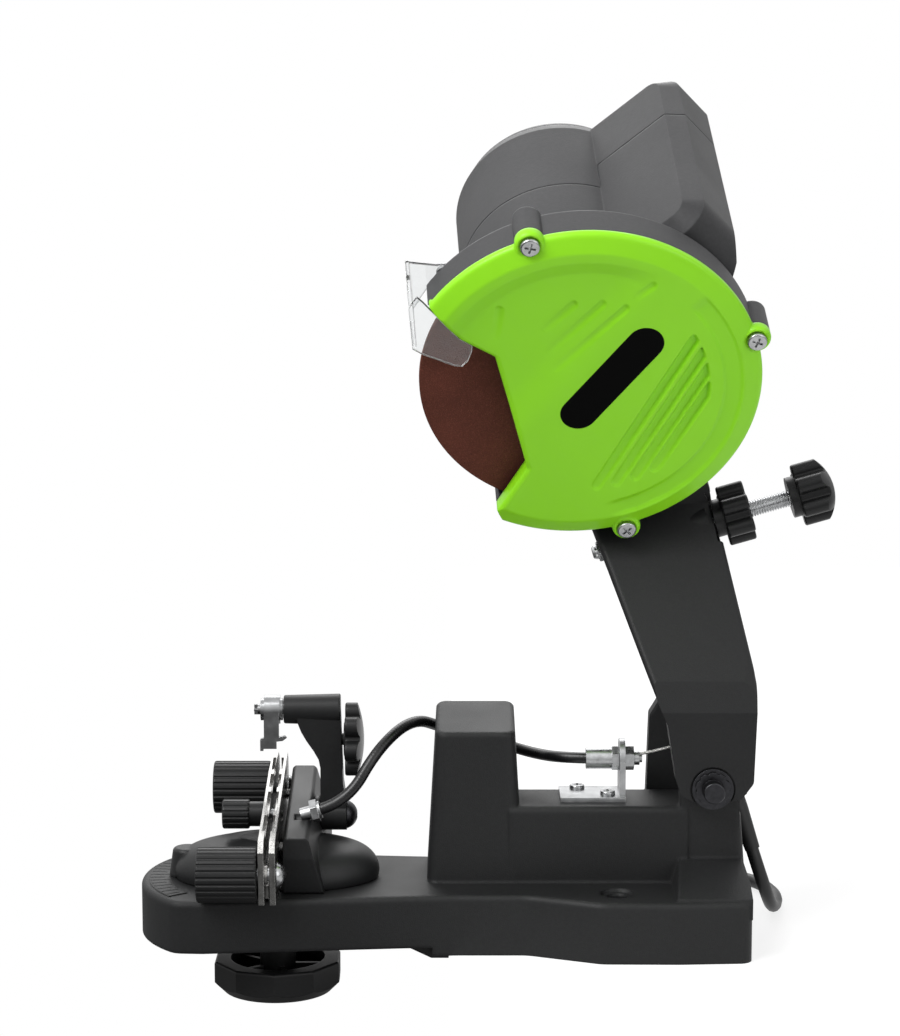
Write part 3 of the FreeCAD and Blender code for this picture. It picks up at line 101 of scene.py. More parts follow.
# the guard's face, across (x, w) about the spindle
GUARD_R = 0.082
GUARD_FRONT = -0.014
COVER_CENTRE = np.array((0.015, 0.005))
MOUTH = (
    (-0.1300, 0.0500), (-0.0638, 0.0500), (-0.0521, 0.0324), (-0.0374, 0.0215),
    (-0.0348, 0.0067), (-0.0308, -0.0160), (-0.0268, -0.0404), (-0.0421, -0.0638),
    (-0.0392, -0.0733), (-0.0370, -0.1300),
)
LABEL_ENDS = np.array(((-0.0017, -0.0112), (0.0295, 0.0237)))
COVER_GROOVES = (
    ((-0.0010, 0.0467), (-0.0144, 0.0349)), ((0.0115, 0.0457), (-0.0125, 0.0234)),
    ((0.0216, 0.0429), (-0.0106, 0.0136)), ((-0.0339, 0.0474), (-0.0365, 0.0334)),
    ((0.0340, 0.0538), (0.0270, 0.0486)),
)
COVER_SLOTS = (
    ((0.0515, 0.0236), (0.0046, -0.0530)), ((0.0560, 0.0172), (0.0136, -0.0520)),
    ((0.0590, 0.0096), (0.0224, -0.0496)), ((0.0600, -0.0001), (0.0316, -0.0458)),
)
COVER_SCREWS = ((-0.0186, 0.0789), (0.0793, 0.0192), (0.0175, -0.0810))
# the cover's features: radius or half width, width of the flank, and how far each stands back
BOSS_R, BOSS_FLANK, BOSS_DROP = 0.0066, 0.0012, 0.0012
SEAT_R, SEAT_FLANK, SEAT_DROP = 0.0052, 0.0005, 0.0020
SLOT_HALF, SLOT_FLANK, SLOT_DROP = 0.0027, 0.0012, 0.0020
GROOVE_HALF, GROOVE_FLANK, GROOVE_DROP = 0.0021, 0.0015, 0.0009
PANEL_R, PANEL_FLANK, PANEL_DROP = 0.0690, 0.0065, 0.0018
SHELF_R, SHELF_FLANK, SHELF_DROP = 0.0640, 0.0013, 0.0010
SLOT_END_R, SHELF_END_R = 0.0580, 0.0735
RIM_DROP = 0.0032
# width and drop of its rounded edges
RIM_ROUND, MOUTH_ROUND, BOSS_ROUND = (0.0018, 0.0014), (0.0026, 0.0019), (0.0018, 0.0024)
# how far its underside, the ledge inside its wall and the wall's foot stand back
COVER_INSIDE, COVER_LEDGE, COVER_BACK = 0.0029, 0.0054, 0.0062

# lines that the cords follow
LEAD_ROUTE = (
    (0.0576, 0.0140, 0.0660), (0.06435, 0.01135, 0.0465), (0.0720, 0.0085, 0.0225),
    (0.0790, 0.0245, 0.0042), (0.0850, 0.0550, 0.0036), (0.0750, 0.0850, 0.0036),
    (0.0470, 0.0986, 0.0036), (0.0180, 0.0976, 0.0036), (-0.0100, 0.0984, 0.0036),
    (-0.0380, 0.0980, 0.0036),
)
COIL_CENTRE = (-0.038, 0.134)
BENCH_GAP = 0.0004
SHEATH_ROUTE = (
    (-0.1402, -0.0120, 0.0633), (-0.1260, -0.0120, 0.0671), (-0.1120, -0.0040, 0.0910),
    (-0.0955, 0.0190, 0.1010), (-0.0810, 0.0385, 0.0920), (-0.0575, 0.0406, 0.0853),
    (-0.0390, 0.0325, 0.0808), (-0.0235, 0.0094, 0.0834), (-0.0055, 0.0090, 0.0835),
)
WIRE_ROUTE = ((-0.0120, 0.0090, 0.0835), (0.0140, 0.0090, 0.0835), (0.0378, 0.0090, 0.0926))

# fineness: steps between the lead's control points, and points along the sheath, the wire, the
# cover's edge and that edge before it is smoothed
LEAD_STEPS = 12
SHEATH_POINTS, WIRE_POINTS, COVER_POINTS, RAW_EDGE_POINTS = 560, 240, 860, 6000

# finishes that no property holds
BLACK_OXIDE = (0.035, 0.035, 0.038)
FAN_BLACK = (0.035, 0.035, 0.036)
SHEET_STEEL = (0.42, 0.42, 0.43)


# ---- sizes and colours a user would change
def colour_property(name, description, rgb):
    """A colour that a user can change."""
    return bpy.props.FloatVectorProperty(
        name=name, description=description, subtype="COLOR", size=3, min=0.0, max=1.0, default=rgb)


def length_property(name, description, metres):
    """A length that a user can change."""
    return bpy.props.FloatProperty(
        name=name, description=description, unit="LENGTH", subtype="DISTANCE", precision=5,
        min=0.0, default=metres)


class SharpenerColours(bpy.types.PropertyGroup):
    """Base colours of the finishes."""
    casting: colour_property("Base casting", "Textured black of the base", (0.0114, 0.0117, 0.0121))
    arm: colour_property("Arm", "Satin black of the arm", (0.0095, 0.0097, 0.0101))
    knob: colour_property("Knobs", "Moulded black of the knobs", (0.0098, 0.0100, 0.0103))
    motor: colour_property("Motor case", "Graphite of the motor shells", (0.037, 0.037, 0.0385))
    cover: colour_property("Wheel cover", "Lime green of the cover", (0.262, 0.700, 0.010))
    label: colour_property("Label", "Black of the bare label", (0.0012, 0.0012, 0.0012))
    abrasive: colour_property("Abrasive", "Red-brown of the grinding wheel", (0.098, 0.028, 0.0175))
    zinc: colour_property("Zinc plating", "Plated small hardware", (0.37, 0.375, 0.38))
    rail: colour_property("Rail steel", "Ground steel of the vise rails", (0.36, 0.355, 0.345))
    rubber: colour_property("Cable", "Black of cable and lead", (0.0060, 0.0060, 0.0064))
    rocker: colour_property("Rocker", "Red of the switch rocker", (0.42, 0.012, 0.010))


class SharpenerSizes(bpy.types.PropertyGroup):
    """Sizes of the pieces that are made here."""
    lead_diameter: length_property("Lead diameter", "Outside of the mains lead", 0.0064)
    coil_radius: length_property("Coil radius", "Outer turns, to the lead's middle", 0.0362)
    coil_step: length_property("Coil step", "Between neighbouring turns of the coil", 0.0065)
    coil_layers: bpy.props.IntProperty(
        name="Coil layers", description="Turns on top of each other", min=2, default=4)
    sheath_diameter: length_property("Sheath diameter", "Outside of the control cable", 0.0054)
    wire_diameter: length_property("Wire diameter", "Strand inside the control cable", 0.0015)
    spring_radius: length_property("Spring radius", "Return spring, to the wire's middle", 0.0115)
    spring_wire: length_property("Spring wire", "Return spring's wire diameter", 0.0022)
    thread_pitch: length_property("Thread pitch", "Depth screw's thread", 0.00125)
    thread_depth: length_property("Thread depth", "Depth screw's thread", 0.00068)
    cover_bevel: length_property("Cover bevel", "Width of the cover's sloping rim", 0.0086)


class SharpenerStage(bpy.types.PropertyGroup):
    """Camera, lamps and bench."""
    eye: bpy.props.FloatVectorProperty(
        name="Camera place", description="Where the camera stands", subtype="TRANSLATION",
        unit="LENGTH", size=3, default=(-0.0778, -1.287, 0.3834))
    tilt: bpy.props.FloatProperty(
        name="Camera tilt", description="Angle below the horizon", subtype="ANGLE",
        unit="ROTATION", default=math.radians(8.1))
    lens: bpy.props.FloatProperty(
        name="Lens", description="Focal length on a 36 mm sensor", subtype="DISTANCE_CAMERA",
        default=111.36)
    key_power: bpy.props.FloatProperty(
        name="Key lamp", description="Power of the lamp above and left", unit="POWER", default=24.0)
    fill_power: bpy.props.FloatProperty(
        name="Fill lamp", description="Power of the lamp at right front", unit="POWER", default=4.0)
    rim_power: bpy.props.FloatProperty(
        name="Rim lamp", description="Power of the lamp behind", unit="POWER", default=7.0)
    ambient: bpy.props.FloatProperty(
        name="Ambient", description="Strength of the even white surroundings", default=0.48)


# ---- mesh tools
def ring_mesh(name, rings, smooth=True):
    """A closed surface from an (n, m, 3) array of rings: a quad joins each cell of the grid and the
    last column to the first. Doubled points at poles are merged and the faces turned outwards."""
    n, m = rings.shape[:2]
    i, k = np.meshgrid(np.arange(n - 1), np.arange(m), indexing="ij")
    k2 = (k + 1) % m
    faces = np.stack([i * m + k, (i + 1) * m + k, (i + 1) * m + k2, i * m + k2], axis=-1)
    piece = mesh_object(name, rings.reshape(-1, 3), faces.reshape(-1, 4), smooth)
    shape = bmesh.new()
    shape.from_mesh(piece.data)
    bmesh.ops.remove_doubles(shape, verts=shape.verts, dist=1e-7)
    bmesh.ops.recalc_face_normals(shape, faces=shape.faces)
    shape.to_mesh(piece.data)
    shape.free()
    piece.data.update()
    return piece


def mesh_object(name, points, faces, smooth):
    """A linked object with that mesh, at the origin."""
    mesh = bpy.data.meshes.new(name)
    mesh.from_pydata(points.tolist(), [], faces.tolist())
    mesh.polygons.foreach_set("use_smooth", np.full(len(mesh.polygons), smooth))
    mesh.validate()
    mesh.update()
    made = bpy.data.objects.new(name, mesh)
    bpy.context.scene.collection.objects.link(made)
    return made


def route_points(name, route, resolution):
    """Points along the smooth NURBS line that has the route's points as its control points."""
    curve = nurbs_curve(name + "_route", route, 0.0, resolution)
    mesh = bpy.data.meshes.new_from_object(curve)
    points = np.zeros(len(mesh.vertices) * 3)
    mesh.vertices.foreach_get("co", points)
    data = curve.data
    bpy.data.objects.remove(curve)
    bpy.data.curves.remove(data)
    bpy.data.meshes.remove(mesh)
    return points.reshape(-1, 3)


def nurbs_curve(name, route, radius, resolution):
    """A round-bevelled curve of one open NURBS spline of order 3 through its end points."""
    data = bpy.data.curves.new(name, "CURVE")
    data.dimensions = "3D"
    data.bevel_depth = radius
    data.bevel_resolution = 4
    data.resolution_u = resolution
    data.use_fill_caps = True
    spline = data.splines.new("NURBS")
    spline.points.add(len(route) - 1)
    flat = np.ones((len(route), 4))
    flat[:, :3] = route
    spline.points.foreach_set("co", flat.ravel())
    spline.order_u = 3
    spline.use_endpoint_u = True
    made = bpy.data.objects.new(name, data)
    bpy.context.scene.collection.objects.link(made)
    return made


def unit(vectors):
    """Each row divided by its length."""
    return vectors / np.maximum(np.linalg.norm(vectors, axis=-1, keepdims=True), 1e-12)


def even_line(line, count, closed=False):
    """That many evenly spaced points along a line, and how far along it each one is."""
    if closed:
        line = np.concatenate([line, line[:1]])
    along = np.concatenate([[0.0], np.cumsum(np.linalg.norm(np.diff(line, axis=0), axis=1))])
    even = np.linspace(0.0, along[-1], count, endpoint=not closed)
    return np.stack([np.interp(even, along, values) for values in line.T], axis=1), even


def full_turn(sides):
    """That many angles evenly spaced round a circle."""
    return np.linspace(0.0, 2 * math.pi, sides, endpoint=False)


def swept_mesh(name, centres, radius, sides, up):
    """Rings round a line: centre + radius * (cos a * side + sin a * lift), where side is across
    the line and the up direction, and lift is across both. The radius may change along the line
    and round it. A pole closes each end."""
    along = unit(np.gradient(centres, axis=0))
    side = unit(np.cross(along, up))
    lift = np.cross(side, along)
    reach = np.broadcast_to(radius, (len(centres), sides))
    angle = full_turn(sides)
    rings = (centres[:, None] + (reach * np.cos(angle))[..., None] * side[:, None]
             + (reach * np.sin(angle))[..., None] * lift[:, None])
    first, last = (np.broadcast_to(centre, (1, sides, 3)) for centre in (centres[0], centres[-1]))
    return ring_mesh(name, np.concatenate([first, rings, last]))


def turned_mesh(name, heights, reach, smooth):
    """Rings round the depth screw's line: its end + height * line + reach * (cos a * side
    + sin a * Y), where side is across the line and Y, with a reach for each height and angle."""
    angle = full_turn(reach.shape[1])
    rings = (STOP_TIP + heights[:, None, None] * STOP_DIR
             + (reach * np.cos(angle))[..., None] * np.cross(STOP_DIR, ACROSS)
             + (reach * np.sin(angle))[..., None] * np.array(ACROSS))
    return ring_mesh(name, rings, smooth)


# ---- material tools
def emptied_tree(owner):
    """The node tree of a material or world, with nothing in it."""
    owner.use_nodes = True
    owner.node_tree.nodes.clear()
    return owner.node_tree


def add_node(tree, kind, settings=None, inputs=None):
    """A node with its settings, and its inputs set or linked by name or number."""
    made = tree.nodes.new(kind)
    for key, value in (settings or {}).items():
        setattr(made, key, value)
    for key, value in (inputs or {}).items():
        if isinstance(value, bpy.types.NodeSocket):
            tree.links.new(value, made.inputs[key])
        else:
            made.inputs[key].default_value = value
    return made


class Finish:
    """A material being built: a Principled shader, with textures in the piece's own coordinates."""

    def __init__(self, name, roughness, metallic=0.0):
        self.material = bpy.data.materials.new(name)
        self.tree = emptied_tree(self.material)
        self.shader = self.node("ShaderNodeBsdfPrincipled", None, {
            "Roughness": roughness, "Metallic": metallic})
        self.node("ShaderNodeOutputMaterial", None, {"Surface": self.shader.outputs["BSDF"]})
        self.place = self.node("ShaderNodeTexCoord").outputs["Object"]
        self.normal = None

    def node(self, kind, settings=None, inputs=None):
        """A node of this material."""
        return add_node(self.tree, kind, settings, inputs)

    def feed(self, socket, value):
        """Link a socket of the shader to a node's output."""
        self.tree.links.new(value, self.shader.inputs[socket])

    def fix(self, socket, value):
        """Set a socket of the shader to one value all over."""
        self.shader.inputs[socket].default_value = value

    def stretched(self, scale, turn=(0.0, 0.0, 0.0)):
        """The piece's coordinates, turned and scaled."""
        return self.node("ShaderNodeMapping", {"vector_type": "TEXTURE"}, {
            "Vector": self.place, "Rotation": turn, "Scale": scale}).outputs["Vector"]

    def noise(self, size, detail=2.0, place=None, rough=0.5):
        """Soft noise with features of about that size in metres, from 0 to 1."""
        return self.node("ShaderNodeTexNoise", None, {
            "Vector": place or self.place, "Scale": 1.0 / size, "Detail": detail,
            "Roughness": rough}).outputs["Fac"]

    def cells(self, size):
        """A pattern of cells about that size in metres: their Distance and Color outputs."""
        return self.node("ShaderNodeTexVoronoi", {"feature": "F1"}, {
            "Vector": self.place, "Scale": 1.0 / size}).outputs

    def ranged(self, value, low, high, to_low, to_high):
        """A value rescaled from one range to another, held at its ends."""
        return self.node("ShaderNodeMapRange", {"clamp": True}, {
            "Value": value, "From Min": low, "From Max": high,
            "To Min": to_low, "To Max": to_high}).outputs["Result"]

    def mixed(self, factor, first, second):
        """Colour from first to second as the factor goes from 0 to 1."""
        first, second = (value if isinstance(value, bpy.types.NodeSocket) else (*value, 1.0)
                         for value in (first, second))
        return self.node("ShaderNodeMix", {"data_type": "RGBA"}, {
            0: factor, 6: first, 7: second}).outputs[2]

    def maths(self, operation, first, second):
        """Two values combined by that operation."""
        return self.node("ShaderNodeMath", {"operation": operation}, {
            0: first, 1: second}).outputs[0]

    def rounded_edges(self, radius):
        """Shade sharp edges as if they were rounded by that radius, under any bump."""
        self.normal = self.node("ShaderNodeBevel", {"samples": 4}, {
            "Radius": radius}).outputs["Normal"]

    def edge_mask(self):
        """1 on a rounded edge and 0 on a flat: one minus the rounded and the plain normal's dot."""
        plain = self.node("ShaderNodeNewGeometry").outputs["Normal"]
        away = self.maths("SUBTRACT", 1.0, self.dot(self.normal, plain))
        return self.ranged(away, 0.02, 0.25, 0.0, 1.0)

    def dot(self, first, second):
        """Dot product of two vectors."""
        return self.node("ShaderNodeVectorMath", {"operation": "DOT_PRODUCT"}, {
            0: first, 1: second}).outputs["Value"]

    def relief(self, height, depth, strength=1.0):
        """Bump from a 0 to 1 height that stands for depth metres, on top of what is there."""
        made = self.node("ShaderNodeBump", None, {
            "Height": height, "Distance": depth, "Strength": strength})
        if self.normal is not None:
            self.tree.links.new(self.normal, made.inputs["Normal"])
        self.normal = made.outputs["Normal"]

    def done(self):
        """The finished material."""
        self.feed("Normal", self.normal)
        return self.material


def shade(rgb, factor):
    """That colour times a factor, held at 1."""
    return tuple(min(1.0, c * factor) for c in rgb)


def moulded(name, rgb, roughness, grain=0.0006, depth=0.00002, edge=0.0005, wear_and_highlight=2.2, patch=0.16,
            shine=0.22):
    """Moulded or powder-coated surface: pebbled grain of that size and depth, tone patches of that
    share, and edges of that radius that are smoother and paler by that factor, partly as scuffing
    and partly as a painted highlight."""
    f = Finish(name, roughness)
    f.rounded_edges(edge)
    wear_and_edge_highlight = f.edge_mask()
    broad = f.noise(0.045, 3.0)
    fine = f.noise(grain * 3.0)
    tone = f.mixed(broad, shade(rgb, 1.0 - patch), shade(rgb, 1.0 + patch))
    tone = f.mixed(f.ranged(fine, 0.35, 0.75, 0.0, 0.35), tone, shade(rgb, 1.45))
    uneven = f.ranged(f.noise(0.006, 3.0), 0.3, 0.7, 0.25, 0.8)
    # paler edges: partly scuffing, partly a painted highlight along every edge
    tone = f.mixed(f.maths("MULTIPLY", wear_and_edge_highlight, uneven), tone, shade(rgb, wear_and_highlight))
    f.feed("Base Color", tone)
    gloss = f.ranged(broad, 0.3, 0.7, roughness - 0.05, roughness + 0.06)
    f.feed("Roughness", f.maths("ADD", gloss, f.maths("MULTIPLY", wear_and_edge_highlight, -0.10)))
    f.fix("Specular IOR Level", shine)
    f.relief(f.noise(0.012, 1.0), 0.00005, 0.5)
    f.relief(f.maths("ADD", f.cells(grain)["Distance"], f.noise(grain * 0.55, 1.0)), depth)
    return f.done()


def glossy_moulding(name, rgb, roughness):
    """Bright injection-moulded skin: faint orange peel, fine scuffs and slightly paler edges,
    partly scuffing and partly a painted highlight.
    """
    f = Finish(name, roughness)
    f.rounded_edges(0.0005)
    wear_and_edge_highlight = f.edge_mask()
    tone = f.mixed(f.noise(0.06), shade(rgb, 0.95), shade(rgb, 1.05))
    pale = tuple(c + 0.16 * (1.0 - c) for c in rgb)
    # paler edges: partly scuffing, partly a painted highlight
    f.feed("Base Color", f.mixed(f.maths("MULTIPLY", wear_and_edge_highlight, 0.45), tone, pale))
    scuffs = f.noise(0.02, 6.0, f.stretched((1.0, 1.0, 0.12), (0.0, 0.7, 0.0)), 0.7)
    f.feed("Roughness", f.ranged(scuffs, 0.42, 0.72, roughness - 0.04, roughness + 0.12))
    f.fix("Specular IOR Level", 0.34)
    f.relief(f.noise(0.0016), 0.000018)
    f.relief(f.noise(0.02, 1.0), 0.00005, 0.5)
    return f.done()


def plated(name, rgb, roughness, patch=0.003):
    """Plated steel: cloudy patches of tone and gloss about that size, and brighter edges, partly
    rubbing and partly a painted highlight.
    """
    f = Finish(name, roughness, 1.0)
    f.rounded_edges(0.0003)
    wear_and_edge_highlight = f.edge_mask()
    cloud = f.noise(patch, 4.0, rough=0.6)
    tone = f.mixed(f.ranged(cloud, 0.30, 0.70, 0.0, 1.0), shade(rgb, 0.80), shade(rgb, 1.20))
    # brighter edges: partly rubbing, partly a painted highlight
    f.feed("Base Color", f.mixed(f.maths("MULTIPLY", wear_and_edge_highlight, 0.6), tone, shade(rgb, 1.9)))
    f.feed("Roughness", f.ranged(cloud, 0.3, 0.7, roughness - 0.06, roughness + 0.10))
    f.relief(f.noise(0.0006), 0.00001)
    return f.done()


def ground_steel(name, rgb, roughness):
    """Ground or drawn steel: fine lines and long streaks of tone along Y, and brighter edges,
    partly rubbing and partly a painted highlight.
    """
    f = Finish(name, roughness, 1.0)
    f.rounded_edges(0.0003)
    wear_and_edge_highlight = f.edge_mask()
    lines = f.noise(0.0004, 2.0, f.stretched((1.0, 60.0, 1.0)), 0.6)
    streaks = f.noise(0.004, 3.0, f.stretched((1.0, 12.0, 1.0)), 0.6)
    tone = f.mixed(f.ranged(streaks, 0.32, 0.68, 0.0, 1.0), shade(rgb, 0.70), shade(rgb, 1.15))
    # brighter edges: partly rubbing, partly a painted highlight
    f.feed("Base Color", f.mixed(f.maths("MULTIPLY", wear_and_edge_highlight, 0.7), tone, shade(rgb, 2.0)))
    f.feed("Roughness", f.ranged(lines, 0.3, 0.7, roughness - 0.08, roughness + 0.10))
    f.relief(lines, 0.000015)
    return f.done()


def rubbery(name, rgb, roughness, grain=0.0005):
    """Extruded cable jacket or moulded rubber: dull, with fine flow marks and handling bloom."""
    f = Finish(name, roughness)
    bloom = f.noise(0.014, 4.0, rough=0.6)
    f.feed("Base Color", f.mixed(f.ranged(bloom, 0.45, 0.8, 0.0, 0.5), rgb, shade(rgb, 2.0)))
    f.feed("Roughness", f.ranged(bloom, 0.3, 0.7, roughness - 0.07, roughness + 0.08))
    f.fix("Specular IOR Level", 0.35)
    f.relief(f.noise(grain), 0.00001)
    return f.done()


def abrasive(name, rgb):
    """Fine bonded grit: crystals a third of a millimetre across in close tones, small pores with
    painted shade in them and a broad mottle."""
    f = Finish(name, 0.78)
    broad = f.noise(0.022, 4.0, rough=0.6)
    base = f.mixed(f.ranged(broad, 0.3, 0.7, 0.0, 1.0), shade(rgb, 0.84), shade(rgb, 1.16))
    grit = f.cells(1.0 / 3200.0)
    lightness = f.node("ShaderNodeSeparateColor", None, {"Color": grit["Color"]}).outputs["Red"]
    base = f.mixed(f.ranged(lightness, 0.0, 0.5, 0.40, 0.0), base, shade(rgb, 0.55))
    base = f.mixed(f.ranged(lightness, 0.80, 1.0, 0.0, 0.35), base, shade(rgb, 2.2))
    pores = f.ranged(f.noise(0.0009), 0.28, 0.38, 1.0, 0.0)
    # painted shade: the pores are darkened as if shade fell in them
    f.feed("Base Color", f.mixed(f.maths("MULTIPLY", pores, 0.35), base, shade(rgb, 0.40)))
    f.feed("Roughness", f.ranged(lightness, 0.8, 1.0, 0.82, 0.55))
    f.fix("Specular IOR Level", 0.2)
    f.relief(f.maths("SUBTRACT", grit["Distance"], pores), 0.00006)
    return f.done()


def clear_plate(name):
    """Clear moulded plate: almost colourless, with faint waves, wiping haze and edges painted milky
    white as a highlight.
    """
    f = Finish(name, 0.04)
    f.rounded_edges(0.0006)
    edge = f.edge_mask()
    # painted highlight: towards the edges the plate turns opaque and near white
    f.feed("Transmission Weight", f.ranged(edge, 0.0, 0.5, 1.0, 0.15))
    f.fix("IOR", 1.49)
    haze = f.noise(0.012, 5.0, rough=0.65)
    tint = f.mixed(haze, (0.80, 0.815, 0.82), (0.90, 0.91, 0.91))
    f.feed("Base Color", f.mixed(f.maths("MULTIPLY", edge, 0.6), tint, (0.98, 0.98, 0.98)))
    f.feed("Roughness", f.ranged(haze, 0.45, 0.75, 0.02, 0.10))
    f.relief(f.noise(0.008, 1.0), 0.00003)
    return f.done()


def laminated(name, rgb):
    """Stacked sheet edges: a sine wave along the spindle, 0.7 mm a sheet, darkens and sinks the
    gaps between dull steel sheets."""
    f = Finish(name, 0.45, 0.85)
    f.rounded_edges(0.0002)
    phase = f.maths("MULTIPLY", f.dot(f.place, tuple(HEAD_N)), 2 * math.pi / 0.0007)
    wave = f.node("ShaderNodeMath", {"operation": "SINE"}, {0: phase}).outputs[0]
    sheets = f.ranged(wave, -1.0, 1.0, 0.0, 1.0)
    f.feed("Base Color", f.mixed(sheets, shade(rgb, 0.45), shade(rgb, 1.2)))
    f.feed("Roughness", f.ranged(f.noise(0.003, 3.0), 0.3, 0.7, 0.35, 0.55))
    f.relief(wave, 0.00003)
    return f.done()


def finish_nodes(material, *names):
    """Puts the material on those CAD nodes."""
    for name in names:
        piece = NODES[name]
        piece.data.materials.clear()
        piece.data.materials.append(material)


def dress(piece, material, body):
    """Material and body of a new piece; a piece given no body is left without one."""
    piece.data.materials.append(material)
    if body:
        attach(piece, body)


# ---- camera
class SHARPENER_OT_camera(bpy.types.Operator):
    """Stand the camera in front of the sharpener, a little above it"""
    bl_idname = "sharpener.camera"
    bl_label = "Camera"

    def execute(self, context):
        settings = context.scene.sharpener_stage
        data = bpy.data.cameras.new("camera")
        data.sensor_width = 36.0
        data.sensor_fit = "HORIZONTAL"
        data.lens = settings.lens
        made = bpy.data.objects.new("camera", data)
        made.location = settings.eye
        made.rotation_euler = (math.pi / 2 - settings.tilt, 0.0, 0.0)
        context.scene.collection.objects.link(made)
        context.scene.camera = made
        return {"FINISHED"}


# ---- mains lead
def coil_points(sizes):
    """Turns of the put-away coil, seen from above clockwise: 14 points a turn on a circle about the
    coil's centre. The first turn lies outside on the bench, the lead then steps inside and climbs
    one step a turn, steps outside at the top and comes down until it leaves beside the coil. A key
    is a number of turns, the radius there and the height there in steps."""
    outer = sizes.coil_radius
    step = sizes.coil_step
    layers = sizes.coil_layers
    inner = outer - step
    low = sizes.lead_diameter / 2 + BENCH_GAP
    per_turn = 14
    keys = [(0.0, outer, 0.0), (0.85, outer, 0.0), (1.15, inner, 0.0), (1.85, inner, 0.0)]
    for layer in range(1, layers):
        keys += [(1.15 + layer, inner, layer), (1.85 + layer, inner, layer)]
    top = layers - 1
    start = 1.15 + layers
    for layer in range(top, 1, -1):
        keys += [(start + top - layer, outer, layer), (start + top - layer + 0.7, outer, layer)]
    last = start + top - 1
    keys += [(last, outer, 1.0), (math.floor(last) + 1.5, outer, 1.0)]
    at, reach, level = np.array(keys).T
    turn = np.append(np.arange(1.0 / per_turn, at[-1] - 0.5 / per_turn, 1.0 / per_turn), at[-1])
    angle = -math.pi / 2 - 2 * math.pi * turn
    radius = np.interp(turn, at, reach)
    height = low + step * np.interp(turn, at, level)
    return np.stack([COIL_CENTRE[0] + radius * np.cos(angle),
                     COIL_CENTRE[1] + radius * np.sin(angle), height], axis=1)


class SHARPENER_OT_mains_lead(bpy.types.Operator):
    """Lay the mains lead from its gland to the bench and wind the rest into a coil with its plug"""
    bl_idname = "sharpener.mains_lead"
    bl_label = "Mains lead"

    def execute(self, context):
        sizes = context.scene.sharpener_sizes
        colours = context.scene.sharpener_colours
        turns = coil_points(sizes)
        into_plug = turns[-1] + np.array([[0.016, 0.0004, 0.0], [0.0300, 0.0, 0.0]])
        route = np.concatenate([LEAD_ROUTE, turns, into_plug])
        lead = nurbs_curve("mains_lead", route, sizes.lead_diameter / 2, LEAD_STEPS)
        dress(lead, rubbery("lead_black", colours.rubber, 0.42), "base")
        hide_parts("power_cord", "cord_coil")
        line = route_points("lead_length", route, LEAD_STEPS)
        finish_nodes(moulded("plug_black", colours.knob, 0.5, edge=0.0008), "mains_plug")
        finish_nodes(rubbery("gland_black", colours.rubber, 0.5), "cord_gland")
        return {"FINISHED"}


# ---- control cable
def twisted_strand(sizes):
    """Strand of seven wires: the radius goes in and out six times round, and that star turns
    once every eight diameters along the line."""
    radius = sizes.wire_diameter / 2
    line, along = even_line(route_points("wire", WIRE_ROUTE, 20), WIRE_POINTS)
    star = full_turn(36) - 2 * math.pi * along[:, None] / (16 * radius)
    reach = radius * (0.86 + 0.14 * np.abs(np.cos(3 * star)))
    return swept_mesh("cable_wire", line, reach, 36, UP)


class SHARPENER_OT_control_cable(bpy.types.Operator):
    """Make the sheathed cable between vise and arm, with its wire and end fittings"""
    bl_idname = "sharpener.control_cable"
    bl_label = "Control cable"

    def execute(self, context):
        sizes = context.scene.sharpener_sizes
        colours = context.scene.sharpener_colours
        line, along = even_line(route_points("sheath", SHEATH_ROUTE, 14), SHEATH_POINTS)
        ribbing = 0.000018 * np.cos(2 * math.pi * along / 0.0016)
        radius = sizes.sheath_diameter / 2 - 0.00002 + ribbing
        sheath = swept_mesh("control_cable", line, radius[:, None], 24, UP)
        jacket = rubbery("cable_black", colours.rubber, 0.30, grain=0.0008)
        dress(sheath, jacket, None)
        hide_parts("cable_sheath")
        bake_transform(sheath)
        strand = twisted_strand(sizes)
        dress(strand, ground_steel("wire_steel", colours.rail, 0.3), None)
        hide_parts("inner_wire")
        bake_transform(strand)
        fittings = plated("zinc_fittings", colours.zinc, 0.30)
        finish_nodes(fittings, "rear_ferrule", "front_ferrule", "wire_nipple")
        return {"FINISHED"}


# ---- base
def torsion_spring(sizes):
    """Close-wound torsion spring round the hinge: a leg from below, a helix of constant radius
    that advances along Y, and a leg upwards, swept with a round wire."""
    turns = 6
    angle = np.linspace(0.0, 2 * math.pi * turns, 36 * turns + 1)
    across = np.interp(angle, (0.0, angle[-1]), SPRING_ENDS)
    helix = np.stack([HINGE[0] + sizes.spring_radius * np.cos(angle), across,
                      HINGE[2] + sizes.spring_radius * np.sin(angle)], axis=1)
    below = helix[0] - np.outer((0.0135, 0.009, 0.0045), UP)
    above = helix[-1] + np.outer((0.006, 0.014, 0.0255), UP)
    line = np.concatenate([below, helix, above])
    return swept_mesh("torsion_spring", line, sizes.spring_wire / 2, 16, ACROSS)


class SHARPENER_OT_base(bpy.types.Operator):
    """Finish the base casting and the hinge hardware, and wind the return spring"""
    bl_idname = "sharpener.base"
    bl_label = "Base and hinge"

    def execute(self, context):
        sizes = context.scene.sharpener_sizes
        colours = context.scene.sharpener_colours
        casting = moulded("casting_black", colours.casting, 0.50, grain=0.00055, depth=0.00004,
                          edge=0.0026, wear_and_highlight=1.7)
        finish_nodes(casting, "base_casting")
        finish_nodes(plated("zinc_bracket", colours.zinc, 0.34, patch=0.006), "cable_bracket")
        finish_nodes(plated("zinc_screws", colours.zinc, 0.24), "bracket_screws")
        oxide = plated("black_oxide", BLACK_OXIDE, 0.34, patch=0.002)
        finish_nodes(oxide, "pivot_bolt", "pivot_rings")
        spring = torsion_spring(sizes)
        dress(spring, ground_steel("spring_steel", colours.rail, 0.3), None)
        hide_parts("return_spring")
        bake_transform(spring)
        return {"FINISHED"}


